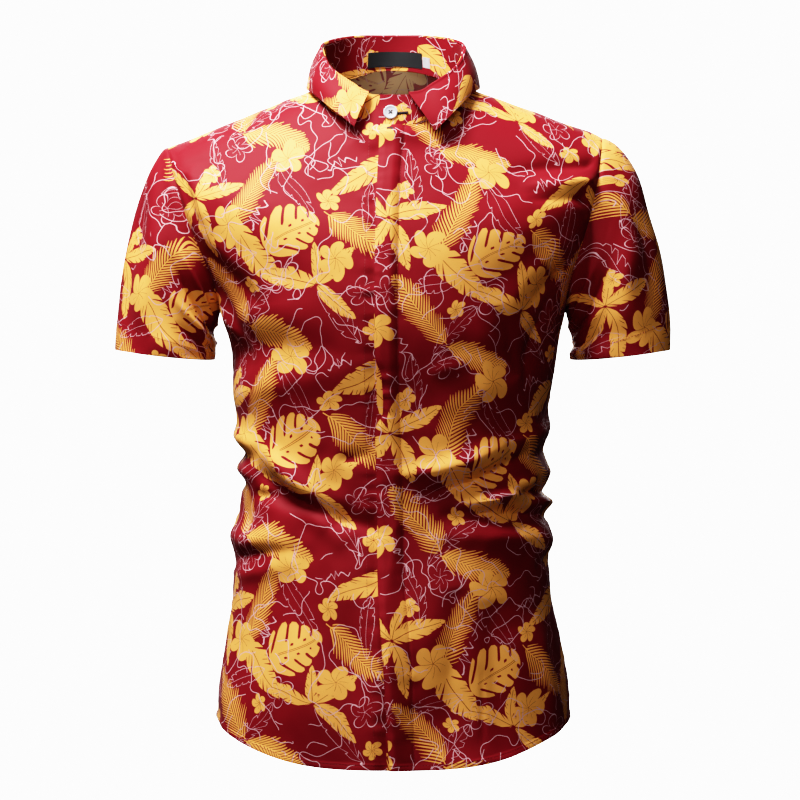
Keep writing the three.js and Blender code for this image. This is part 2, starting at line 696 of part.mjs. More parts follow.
// A flat tape sewn to the inside of the stand at the back of the neck
function tape(name, size, material) {
  const steps = NECK_STEPS.tape;
  const grid = [size.low, size.high].map((height) => {
    const line = [];
    for (let j = 0; j <= steps; j++) {
      const x = mix(size.fromX, size.toX, j / steps);
      line.push(standPoint(180 - THREE.MathUtils.radToDeg(Math.asin(x / STAND.x)), height));
    }
    return line;
  });
  const normals = gridNormals(grid, false, true);
  const outer = pushed(grid, normals, () => -(COLLAR_CLOTH + TAPE_GAP));
  add(name, wallGeometry(outer, offsetInwards(outer, normals, size.cloth), false), material);
}
tape("neck_label", LABEL, black);
tape("size_tab", SIZE_TAB, white);

export default shirt;
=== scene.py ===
import math
from collections import namedtuple

import bpy
import numpy as np
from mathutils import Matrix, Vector


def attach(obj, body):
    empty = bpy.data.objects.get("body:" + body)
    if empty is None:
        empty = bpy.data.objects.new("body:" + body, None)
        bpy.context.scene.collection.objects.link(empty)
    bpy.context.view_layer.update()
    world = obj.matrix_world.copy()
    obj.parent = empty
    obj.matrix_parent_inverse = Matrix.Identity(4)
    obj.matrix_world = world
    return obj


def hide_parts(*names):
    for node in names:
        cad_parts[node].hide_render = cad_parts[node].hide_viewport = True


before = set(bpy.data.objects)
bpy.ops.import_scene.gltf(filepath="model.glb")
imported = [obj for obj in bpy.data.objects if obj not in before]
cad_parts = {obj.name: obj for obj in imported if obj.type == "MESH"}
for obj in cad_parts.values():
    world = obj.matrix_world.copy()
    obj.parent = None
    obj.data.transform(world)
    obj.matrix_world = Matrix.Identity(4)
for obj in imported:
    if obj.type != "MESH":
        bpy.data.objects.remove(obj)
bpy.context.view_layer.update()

MM = 0.001

# The garment's shape, in millimetres in the frame's axes: +Z up, -Y the front, +X the wearer's left
HEM = {"front": -661, "back": -667, "side": -619}
# Powers of the sine and cosine along a row: how late it rises or falls towards its end, and how full
# its outline is, where 2 is an ellipse. Then where each starts to change, as a share of its part.
ROW_CURVE = {"hem": 2.8, "body": 2.0, "shoulder": 3.4}
FULLNESS = {"body": 2.3, "shoulder": 1.95, "neck": 2.1}
CHANGE = {"hem_rows": 1 / 3, "fullness_from": 0.3, "curve_from": 0.4}
# The corners of the half panels, with the heights at which their rows start on the centre lines
ARMPIT = {"z": -216, "front_z": -208, "back_z": -218}
SHOULDER = {"x": 217, "z": -45, "front_z": -90, "back_z": -25}
NECK = {"x": 70, "y": 0, "z": 10, "front_z": -36, "back_z": 31}
# How far the armhole's edges run to the front and the back, and how the shoulders lean to one side
SCOOP = {"front": 58, "back": 52, "back_wider": 6}
SLIDE = {"x": -8, "slope": 0.62}
SIDE_Y = 3
# The sleeves: their cuffs, and which way the cloth leaves the armhole and arrives at the cuff
CUFF = {"x": 227.5, "y": 2, "half_x": 49.3, "half_front": 58, "half_back": 60}
CUFF_Z = {"inner": -262, "outer": -252, "drop": 3}
LEAVE = {"out_under": 20, "out_over": 105, "more_left": 40, "spread": 15}
LEAVE_FALL = {"base": 30, "round": 40, "more_left": 12}
ARRIVE = {"out_over": 4, "fall_under": 45, "fall_over": 200}

# Depth of the cloth on the centre lines, half width at the side seams and armholes, and the line of
# the buttons, each as (height, value)
CENTRE_FRONT = [(-661, -124), (-585, -123), (-500, -117), (-410, -112), (-325, -117), (-240, -127),
                (-190, -129), (-140, -121), (-90, -102), (-60, -87), (-36, -76)]
CENTRE_BACK = [(-667, 118), (-560, 113), (-470, 96), (-400, 87), (-320, 93), (-240, 107),
               (-160, 115), (-90, 110), (-30, 90), (10, 63), (31, 50)]
SIDE_SEAM = [(-619, 176.5), (-587, 174), (-557, 170), (-527, 166), (-497, 160), (-437, 156),
             (-392, 152), (-332, 155.5), (-272, 161), (-242, 165), (-216, 172)]
ARMHOLE = [(-216, 172), (-189, 176), (-165, 184), (-141, 193), (-120, 200), (-98, 206),
           (-80, 210.5), (-45, 217)]
BUTTON_LINE = [(-661, 5), (-560, 1), (-480, -3), (-400, -3), (-300, -5), (-180, -5), (-90, -3),
               (-36, 0)]


def mix(a, b, s):
    return a + (b - a) * s


def smooth(v, start, end):
    s = np.clip((v - start) / (end - start), 0, 1)
    return s * s * (3 - 2 * s)


def curve_through(rows):
    """A smooth curve through a table's rows, as a function of its first column."""
    keys, values = (np.array(column, float) for column in zip(*rows))
    before = np.maximum(np.arange(len(keys)) - 1, 0)
    after = np.minimum(np.arange(len(keys)) + 1, len(keys) - 1)
    slopes = (values[after] - values[before]) / (keys[after] - keys[before])

    def at(k):
        k = np.clip(k, keys[0], keys[-1])
        i = np.clip(np.searchsorted(keys, k, side="left") - 1, 0, len(keys) - 2)
        span = keys[i + 1] - keys[i]
        s = (k - keys[i]) / span
        bow = span * s * (1 - s) * ((1 - s) * slopes[i] - s * slopes[i + 1])
        return mix(values[i], values[i + 1], s * s * (3 - 2 * s)) + bow

    return at


front_y = curve_through(CENTRE_FRONT)
back_y = curve_through(CENTRE_BACK)
side_x = curve_through(SIDE_SEAM)
armhole_x = curve_through(ARMHOLE)
button_x = curve_through(BUTTON_LINE)


class Rows:
    """Rows across half a torso panel. t runs 0 to 1 up the side seam, 1 to 2 round the armhole and
    2 to 3 along the shoulder seam. Each attribute holds one number for each row, as a column: c is
    for the centre line, e for the row's end and 90 for where the row would end at 90 degrees."""

    def __init__(self, t, back, side):
        t = np.asarray(t, float)
        part = np.minimum(t.astype(int), 2)
        s = t - part
        hump, eased = np.sin(np.pi * s), (1 - np.cos(np.pi * s)) / 2
        by_part = lambda *values: np.choose(part, [value + 0 * s for value in values])
        key = "back_z" if back else "front_z"
        centres = np.array([HEM["back" if back else "front"], ARMPIT[key], SHOULDER[key], NECK[key]], float)
        self.zc = mix(centres[part], centres[part + 1], s)
        self.yc = back_y(self.zc) if back else front_y(self.zc)
        self.ze = by_part(mix(HEM["side"], ARMPIT["z"], s), mix(ARMPIT["z"], SHOULDER["z"], eased),
                          mix(SHOULDER["z"], NECK["z"], s))
        wider = SCOOP["back_wider"] if back else 0
        self.xe = by_part(side_x(self.ze), armhole_x(self.ze) + wider * hump,
                          mix(SHOULDER["x"], NECK["x"], s))
        scoop = SCOOP["back"] if back else -SCOOP["front"]
        self.ye = by_part(SIDE_Y, SIDE_Y + scoop * hump, mix(SIDE_Y, NECK["y"], s))
        fullness = by_part(
            FULLNESS["body"],
            mix(FULLNESS["body"], FULLNESS["shoulder"], smooth(s, CHANGE["fullness_from"], 1)),
            mix(FULLNESS["shoulder"], FULLNESS["neck"], s))
        self.curve = by_part(
            mix(ROW_CURVE["hem"], ROW_CURVE["body"], np.minimum(1, s / CHANGE["hem_rows"])),
            mix(ROW_CURVE["body"], ROW_CURVE["shoulder"], smooth(s, CHANGE["curve_from"], 1)),
            mix(ROW_CURVE["shoulder"], ROW_CURVE["body"], s))
        self.side_y = np.where(part == 2, self.ye, SIDE_Y)
        self.power = 2 / fullness
        left = np.maximum(0, (self.side_y - self.ye) / (self.side_y - self.yc))
        self.end = np.arccos(np.minimum(1, left ** (1 / self.power)))
        reach = np.sin(self.end)
        slide = side * SLIDE["x"] * by_part(0, eased, 1 - s)
        self.xe = self.xe + slide
        self.ze = self.ze - slide * SLIDE["slope"] * np.where(part == 1, s * s, 1)
        self.x90 = self.xe / reach**self.power
        self.z90 = self.zc + (self.ze - self.zc) / reach**self.curve
        for name, value in vars(self).items():
            setattr(self, name, np.asarray(value, float).reshape(-1, 1))

    def points(self, angle):
        """The points at angles (radians) from the centre line, positive on the +X side."""
        sine, cosine = np.abs(np.sin(angle)), np.maximum(0, np.cos(angle))
        x = np.where(angle < 0, -1, 1) * self.x90 * sine**self.power
        y = self.side_y + (self.yc - self.side_y) * cosine**self.power
        z = self.zc + (self.z90 - self.zc) * sine**self.curve
        return np.stack([x, y, z], axis=-1)

    def angle_of(self, x):
        return np.sign(x) * np.arcsin((np.abs(x) / self.x90) ** (1 / self.power))


# A small language for shader nodes: a Num is one number that nodes work out, and its operators and
# methods add the node that works out the next one
def input_value(tree, socket, value):
    """Sets an input to a value, or joins it to a socket or a Num."""
    if isinstance(value, Num):
        value = value.socket
    if isinstance(value, bpy.types.NodeSocket):
        tree.links.new(value, socket)
    else:
        socket.default_value = value


def add_node(tree, kind, inputs=None, **settings):
    """A shader node of a kind, with its settings and its inputs, by name or number."""
    node = tree.nodes.new("ShaderNode" + kind)
    for name, value in settings.items():
        setattr(node, name, value)
    for key, value in (inputs or {}).items():
        input_value(tree, node.inputs[key], value)
    return node


def math_node(tree, operation, *values):
    return Num(tree, add_node(tree, "Math", dict(enumerate(values)), operation=operation).outputs[0])


def vector_node(tree, operation, *values, output="Vector"):
    return add_node(tree, "VectorMath", dict(enumerate(values)), operation=operation).outputs[output]


def mix_node(tree, kind, factor, a, b, **settings):
    """The socket of two mixed values of a kind, VECTOR or RGBA."""
    node = add_node(tree, "Mix", data_type=kind, **settings)
    inputs = [socket for socket in node.inputs if socket.type == kind and socket.name in "AB"]
    for socket, value in zip([node.inputs["Factor"]] + inputs, (factor, a, b)):
        input_value(tree, socket, value)
    return next(socket for socket in node.outputs if socket.type == kind)


def flat_noise(tree, place, scale, detail=0.0):
    inputs = {"Scale": scale, "Detail": detail, "Vector": place}
    return add_node(tree, "TexNoise", inputs, noise_dimensions="2D")


def split(tree, socket, kind="XYZ"):
    """The three parts of a vector or a colour, each a Num."""
    return [Num(tree, part) for part in add_node(tree, "Separate" + kind, {0: socket}).outputs]


class Num:
    def __init__(self, tree, socket):
        self.tree, self.socket = tree, socket

    def __rsub__(self, other):
        return math_node(self.tree, "SUBTRACT", other, self)

    def __invert__(self):
        return math_node(self.tree, "SUBTRACT", 1.0, self)

    def random(self):
        node = add_node(self.tree, "TexWhiteNoise", {"W": self}, noise_dimensions="1D")
        return Num(self.tree, node.outputs["Value"])


def method_of(operation):
    return lambda self, *others: math_node(self.tree, operation, self, *others)


for name, operation in {
    "__add__": "ADD", "__radd__": "ADD", "__sub__": "SUBTRACT", "__mul__": "MULTIPLY", "__rmul__": "MULTIPLY",
    "__truediv__": "DIVIDE", "__pow__": "POWER", "__lt__": "LESS_THAN", "__gt__": "GREATER_THAN",
    "__and__": "MULTIPLY", "__or__": "MAXIMUM", "least": "MINIMUM", "most": "MAXIMUM", "abs": "ABSOLUTE",
    "sign": "SIGN", "floor": "FLOOR", "fraction": "FRACT", "sine": "SINE", "cosine": "COSINE",
}.items():
    setattr(Num, name, method_of(operation))


# The print: a repeat of leaves, fronds and flowers, with line drawings over them. Every motif is a
# row (across, up, direction in degrees, half length, half width), in millimetres on the flat cloth.
REPEAT = (238.0, 204.0)


def burst(x, y, leaves):
    """Leaves that spring from one point, each (direction, half length, half width)."""
    way = lambda angle: (math.cos(math.radians(angle)), math.sin(math.radians(angle)))
    return [(x + length * way(angle)[0], y + length * way(angle)[1], angle, length, width)
            for angle, length, width in leaves]


LEAVES = (
    burst(44, 150, [(18, 29, 9), (66, 22, 6), (134, 24, 6.5), (232, 26, 8), (288, 30, 9)])
    + burst(172, 62, [(38, 27, 7.5), (92, 22, 6), (160, 30, 9), (322, 28, 8.5)])
    + [(112, 96, -48, 43, 15), (218, 176, 208, 36, 12)]
)
FRONDS = [
    (112, 160, 62, 42, 18), (214, 112, -40, 40, 17), (70, 60, 128, 42, 17), (132, 14, -16, 38, 16),
    (12, 92, 80, 33, 13),
]
FLOWERS = [
    (82, 122, 20, 22, 22), (192, 84, 65, 20, 20), (30, 40, 40, 20, 20), (144, 196, 10, 21, 21),
    (108, 62, 10, 10, 10), (186, 152, 30, 12, 12), (60, 178, 50, 10, 10), (232, 20, 0, 11, 11),
]
MONSTERAS = [(150, 118, 28, 29, 26)]
LINE_LEAVES = [
    (66, 190, 104, 34, 8), (152, 158, -58, 38, 9), (28, 114, 12, 34, 8), (198, 32, 134, 36, 9),
    (104, 40, 42, 34, 8), (226, 140, 88, 30, 7), (90, 88, 200, 30, 8),
]
LINE_FLOWERS = [(138, 72, 0, 18, 18), (40, 78, 30, 16, 16), (222, 56, 10, 17, 17), (92, 6, 50, 17, 17)]
LINE_ZIGZAGS = [
    (118, 132, 62, 16, 7), (196, 190, 20, 15, 6), (52, 26, 120, 17, 6), (236, 84, 110, 14, 6),
]
LINE_WIDTH = 0.34
MOTIF_SIZE = 0.95
# Makes a motif's half length so small a number that it doesn't count in its distance
FAR = 1000.0


def nearest_motif(tree, place, rows):
    """Coordinates in the nearest of several motifs: 1 at its tip and its sides, and its half length in
    millimetres as the third number."""
    best = least = None
    for across, up, direction, length, width in rows:
        low = (across - REPEAT[0] / 2, up - REPEAT[1] / 2, -1.0)
        high = (across + REPEAT[0] / 2, up + REPEAT[1] / 2, 1.0)
        local = add_node(tree, "Mapping", {
            "Vector": vector_node(tree, "WRAP", place, high, low),
            "Location": (across, up, -1.0),
            "Rotation": (0, 0, math.radians(direction)),
            "Scale": (length * MOTIF_SIZE, width * MOTIF_SIZE, FAR / length),
        }, vector_type="TEXTURE").outputs["Vector"]
        distance = Num(tree, vector_node(tree, "LENGTH", local, output="Value"))
        if best is None:
            best, least = local, distance
        else:
            best = mix_node(tree, "VECTOR", distance < least, best, local, clamp_factor=False)
            least = distance.least(least)
    x, y, size = split(tree, best)
    return x, y, size * FAR


# In the motifs' formulas x runs along a motif and y across it. Widths of dark lines and spacings of
# tears and leaflets are in millimetres, the other numbers are shares of the motif's own size.
TEARS = {"spacing": 9.5, "slant": 0.32, "rib": 0.36}
LEAFLETS = {"spacing": 4.1, "slant": 0.5, "stem": 0.5}
PETAL_LINES = {"between": 0.42, "along": 0.3}
SLOTS = {"slot": (0.22, 0.46, 0.12), "hole": (0.14, 0.2, 0.045), "rib": (0.5, 1.0)}


def banana_leaf(tree, place):
    """A leaf with slanted tears at its edges, a rib and a few slits: its shape and its dark lines."""
    x, y, size = nearest_motif(tree, place, LEAVES)
    aside, half = y.abs(), y.sign()
    width = ((1 - x * x).most(0.0) ** 0.66) * (1.06 - 0.2 * x)
    step = (x - aside * TEARS["slant"]) * size / TEARS["spacing"] + half * 0.23 + size * 1.9
    cell, part = step.floor(), step.fraction()
    dice = (cell + half * 7.1 + size * 5.31).random()
    reach = aside / width.most(0.001)
    start = dice * 0.7 + 0.12
    torn = part < (reach - start) * 0.5 + 0.02
    edge = width * ((dice * 7.31).fraction() * 0.2 + 0.82)
    shape = (aside < edge) & ~torn
    rib = (aside * size * 0.38 < TEARS["rib"]) & (x < 0.8)
    slits = ((part - 0.5).abs() < 0.035) & (reach > 0.45) & (dice > 0.5) & (reach < 0.8)
    return shape, rib | slits


def palm_frond(tree, place):
    """Slanted leaflets on both sides of a rib, each a spindle, and ragged tips."""
    x, y, size = nearest_motif(tree, place, FRONDS)
    aside, half = y.abs(), y.sign()
    width = ((1 - x * x).most(0.0) ** 0.55) * (1.06 - 0.2 * x)
    step = (x - aside * LEAFLETS["slant"]) * size / LEAFLETS["spacing"] + half * 0.25 + size * 0.77
    cell, part = step.floor(), step.fraction()
    dice = (cell + half * 5.7 + size * 3.77).random()
    reach = aside / (width * (dice * 0.34 + 0.72)).most(0.001)
    full = (size * 9.99).random() * 0.2 + 0.58
    thick = full - reach**3 * 0.5 - (0.12 - reach).most(0.0) * 2
    leaflet = ((part - 0.5).abs() * 2 < thick) & (reach < 1.0) & (x.abs() < 1.0)
    stem = (aside * size * 0.42 < LEAFLETS["stem"]) & (x < 0.94) & (x > -1.15)
    return leaflet | stem


def petals(size, x, y):
    """The turning of five petals: |cosine| is 1 along each petal and 0 between two."""
    radius = (x * x + y * y) ** 0.5
    turn = (math_node(x.tree, "ARCTAN2", y, x) + radius * 0.5) * 2.5 + size * 2.3
    return radius, turn.cosine().abs(), turn.sine().abs()


def plumeria(tree, place):
    """A flower of five petals with thin dark lines."""
    x, y, size = nearest_motif(tree, place, FLOWERS)
    radius, on_petal, off_petal = petals(size, x, y)
    shape = radius < on_petal**0.6 * 0.56 + 0.44
    between = (on_petal * radius * size < PETAL_LINES["between"]) & (radius < 0.5)
    along = (off_petal * radius * size < PETAL_LINES["along"]) & (radius > 0.14) & (radius < 0.6)
    return shape, between | along


def monstera(tree, place):
    """A round leaf cut by slots from its edge and pierced near its rib."""
    x, y, size = nearest_motif(tree, place, MONSTERAS)
    aside, half = y.abs(), y.sign()
    width = ((1 - (x * 0.96 + 0.04) ** 2).most(0.0) ** 0.5) * (0.94 - 0.26 * x)
    part = ((x - aside * aside * 0.4 - aside * 0.25) * 1.9 + half * 0.17 + 0.25).fraction() - 0.5
    reach = aside / width.most(0.001)
    off = part.abs() * 2
    slot_width, slot_start, slot_round = SLOTS["slot"]
    slot = (off / slot_width) ** 2 + ((reach - slot_start).least(0.0) / slot_round) ** 2 < 1.0
    hole_width, hole_aside, hole_length = SLOTS["hole"]
    hole = ((off - 0.9) / hole_width) ** 2 + ((aside - hole_aside) / hole_length) ** 2 < 1.0
    edge = width * ((off * 1.5).least(1.0) ** 0.5 * 0.3 + 0.72)
    shape = (aside < edge) & ~slot & ~(hole & (x.abs() < 0.55))
    rib = (aside * size < SLOTS["rib"][1]) & (aside * size > SLOTS["rib"][0]) & (x.abs() < 0.75)
    return shape, rib


def leaf_drawing(tree, place):
    """The outline of a narrow leaf with torn edges, and its rib."""
    x, y, size = nearest_motif(tree, place, LINE_LEAVES)
    aside, half = y.abs(), y.sign()
    width = (1 - x * x).most(0.0) ** 0.7
    step = (x - aside * 0.3) * 3.1 + half * 0.27 + size
    part = step.fraction()
    dice = (step.floor() + half * 3.3).random()
    steep = 6.0 - dice * 3.0
    notch = (1 - (part - 0.5).abs() * steep).most(0.0)
    edge = width * (1 - notch * (dice * 0.9))
    off = (aside - edge).abs() * size * 0.24
    slope = (notch > 0.0) * dice * 1.6 + 1
    rib = (aside * size * 0.24 < LINE_WIDTH * 0.8) & (half > 0)
    return ((off < LINE_WIDTH * slope * 0.6) | rib) & (x.abs() < 0.995)


def flower_drawing(tree, place):
    """The outline of a flower, with a line along each petal."""
    x, y, size = nearest_motif(tree, place, LINE_FLOWERS)
    radius, on_petal, off_petal = petals(size, x, y)
    off = (radius - (on_petal**0.7 * 0.6 + 0.38)).abs() * size * 0.75
    lines = (off_petal * radius * size < LINE_WIDTH) & (radius < 0.5)
    return (off < LINE_WIDTH) | lines


def zigzag_drawing(tree, place):
    """A short scribble that swings from side to side."""
    x, y, size = nearest_motif(tree, place, LINE_ZIGZAGS)
    swing = (((x + (x * 4.0).sine() * 0.16) * 1.9 + size).fraction() - 0.5).abs() * 4 - 1
    off = (y - swing * ((x * 7.0 + size).sine() * 0.35 + 0.6)).abs() * size * 0.19
    return (off < LINE_WIDTH) & (x.abs() < 1.0)


# Wandering lines: where a noise crosses a level, over part of the cloth. Each is the noise's shift,
# its scale, its detail, its level and the share of the cloth that it covers.
WANDERERS = [
    ((0, 0), 0.017, 1.6, 0.50, 0.52), ((300, 170), 0.024, 0.8, 0.53, 0.48),
    ((90, 410), 0.013, 2.4, 0.47, 0.5),
]
NUDGE = 0.35
COVER_SCALE = 0.9


def wandering_line(tree, place, shift, scale, detail, level, share):
    """A line as wide everywhere, found from how fast the noise changes across it."""
    at = [vector_node(tree, "ADD", place, (shift[0] + dx, shift[1] + dy, 0))
          for dx, dy in ((0, 0), (NUDGE, 0), (0, NUDGE))]
    here, right, above = (Num(tree, flat_noise(tree, v, scale, detail).outputs["Fac"]) for v in at)
    slope = (((right - here) / NUDGE) ** 2 + ((above - here) / NUDGE) ** 2) ** 0.5
    off = (here - level).abs() / slope.most(0.0005)
    cover = flat_noise(tree, at[0], scale * COVER_SCALE)
    green = split(tree, cover.outputs["Color"], "Color")[1]
    return (off < LINE_WIDTH) & (green < share)


WAVER = {"scale": 0.02, "size": 14.0}


def print_group():
    """The whole print as one node group: its yellow, its dark lines and its white lines."""
    tree = bpy.data.node_groups.new("leaf_print", "ShaderNodeTree")
    tree.interface.new_socket("Cut", in_out="INPUT", socket_type="NodeSocketVector")
    for name in ("Yellow", "Dark lines", "White lines"):
        tree.interface.new_socket(name, in_out="OUTPUT", socket_type="NodeSocketFloat")
    entry, end = tree.nodes.new("NodeGroupInput"), tree.nodes.new("NodeGroupOutput")
    place = vector_node(tree, "MULTIPLY", entry.outputs["Cut"], (1 / MM, 1 / MM, 0.0))
    # Each repeat is drawn a little differently: every motif leans and swells
    noise = flat_noise(tree, place, WAVER["scale"])
    waver = vector_node(tree, "SUBTRACT", noise.outputs["Color"], (0.5, 0.5, 0.5))
    waver = vector_node(tree, "MULTIPLY", waver, (WAVER["size"], WAVER["size"], 0.0))
    flat = vector_node(tree, "ADD", place, waver)
    leaf_shape, leaf_lines = banana_leaf(tree, flat)
    frond_shape = palm_frond(tree, flat)
    round_shape, round_lines = monstera(tree, flat)
    flower_shape, flower_lines = plumeria(tree, flat)
    yellow = leaf_shape | frond_shape | round_shape | flower_shape
    dark = (flower_lines | ((leaf_lines & leaf_shape) | (round_lines & round_shape)) & ~flower_shape) & yellow
    white = leaf_drawing(tree, flat) | flower_drawing(tree, flat) | zigzag_drawing(tree, flat)
    for wanderer in WANDERERS:
        white = white | wandering_line(tree, place, *wanderer)
    for socket, value in zip(end.inputs, (yellow, dark, white)):
        tree.links.new(value.socket, socket)
    return tree


# Linear colours of the print on the cloth's right side and, paler, on its wrong side
CLOTH_COLOURS = {
    "right": {"ground": (0.225, 0.012, 0.020), "yellow": (0.93, 0.41, 0.108), "dark": (0.16, 0.015, 0.01),
              "white": (0.72, 0.42, 0.46)},
    "wrong": {"ground": (0.42, 0.17, 0.16), "yellow": (0.80, 0.60, 0.36), "dark": (0.46, 0.22, 0.17),
              "white": (0.74, 0.55, 0.52)},
}
WEAVE = {"threads": 2600, "strength": 0.06, "depth": 0.0002}
# The dye differs from thread to thread by up to "spread", from "least" up
DYE = {"scale": 900, "spread": 0.16, "least": 0.92}
CLOTH_GLOSS = {"Roughness": 0.62, "Specular IOR Level": 0.12, "Sheen Weight": 0.03, "Sheen Roughness": 0.4}
# The grain of a plain material: its scale, the darker and lighter shares of its colour, and its depth
GRAIN = {"scale": 400, "shares": (0.86, 1.1), "depth": 0.0002}


def new_material(name):
    material = bpy.data.materials.new(name)
    material.use_nodes = True
    return material, material.node_tree


def bump_node(tree, height, strength, depth):
    inputs = {"Strength": strength, "Distance": depth, "Height": height}
    return add_node(tree, "Bump", inputs).outputs["Normal"]


def set_shader(material, inputs):
    for name, value in inputs.items():
        input_value(material.node_tree, material.node_tree.nodes["Principled BSDF"].inputs[name], value)


def cloth_material(name, colours, group):
    material, tree = new_material(name)
    cut = add_node(tree, "UVMap", uv_map="cut").outputs["UV"]
    pattern = add_node(tree, "Group", {"Cut": cut}, node_tree=group)
    color = (*colours["ground"], 1)
    for key, output in (("yellow", "Yellow"), ("dark", "Dark lines"), ("white", "White lines")):
        color = mix_node(tree, "RGBA", pattern.outputs[output], color, (*colours[key], 1))
    noise = add_node(tree, "TexNoise", {"Scale": DYE["scale"], "Vector": cut}).outputs["Fac"]
    uneven = Num(tree, noise) * DYE["spread"] + DYE["least"]
    shade = add_node(tree, "HueSaturation", {"Color": color, "Value": uneven})
    # The weave: crossing threads, as bump
    u, v = split(tree, cut)[:2]
    threads = (u * WEAVE["threads"] * math.pi).sine() * (v * WEAVE["threads"] * math.pi).sine()
    bump = bump_node(tree, threads, WEAVE["strength"], WEAVE["depth"])
    set_shader(material, {**CLOTH_GLOSS, "Base Color": shade.outputs["Color"], "Normal": bump})
    return material


def plain(name, color, roughness, bump_scale=0, bump_strength=0.2):
    """A plain material with a fine grain in its colour and, where it has a bump scale, its surface."""
    material, tree = new_material(name)
    place = add_node(tree, "TexCoord").outputs["Object"]
    scale = bump_scale or GRAIN["scale"]
    grain = add_node(tree, "TexNoise", {"Scale": scale, "Vector": place}).outputs["Fac"]
    shades = [(*(min(1, share * c) for c in color), 1) for share in GRAIN["shares"]]
    set_shader(material, {"Roughness": roughness, "Base Color": mix_node(tree, "RGBA", grain, *shades)})
    if bump_scale:
        set_shader(material, {"Normal": bump_node(tree, grain, bump_strength, GRAIN["depth"])})
    return material


leaf_print = print_group()
printed_cloth = cloth_material("printed_cloth", CLOTH_COLOURS["right"], leaf_print)
wrong_side = cloth_material("cloth_wrong_side", CLOTH_COLOURS["wrong"], leaf_print)
thread = plain("thread", (0.24, 0.012, 0.02), 0.55)
# Dark thread for the buttons and the tack at the neck; it also colours the dark bar of painted shadow at the
# foot of the stand
dark_thread_and_painted_shadow = plain("dark_thread_and_painted_shadow", (0.02, 0.008, 0.01), 0.6)
button_plastic = plain("button_plastic", (0.62, 0.63, 0.71), 0.42, 300, 0.04)
label_tape = plain("label_tape", (0.007, 0.007, 0.009), 0.55, 2200, 0.5)
tab_tape = plain("tab_tape", (0.5, 0.5, 0.52), 0.7, 2200, 0.4)
floor_paint = plain("floor_paint", (0.9, 0.9, 0.9), 0.9)
set_shader(floor_paint, {"Emission Color": (1, 1, 1, 1), "Emission Strength": 2.0})


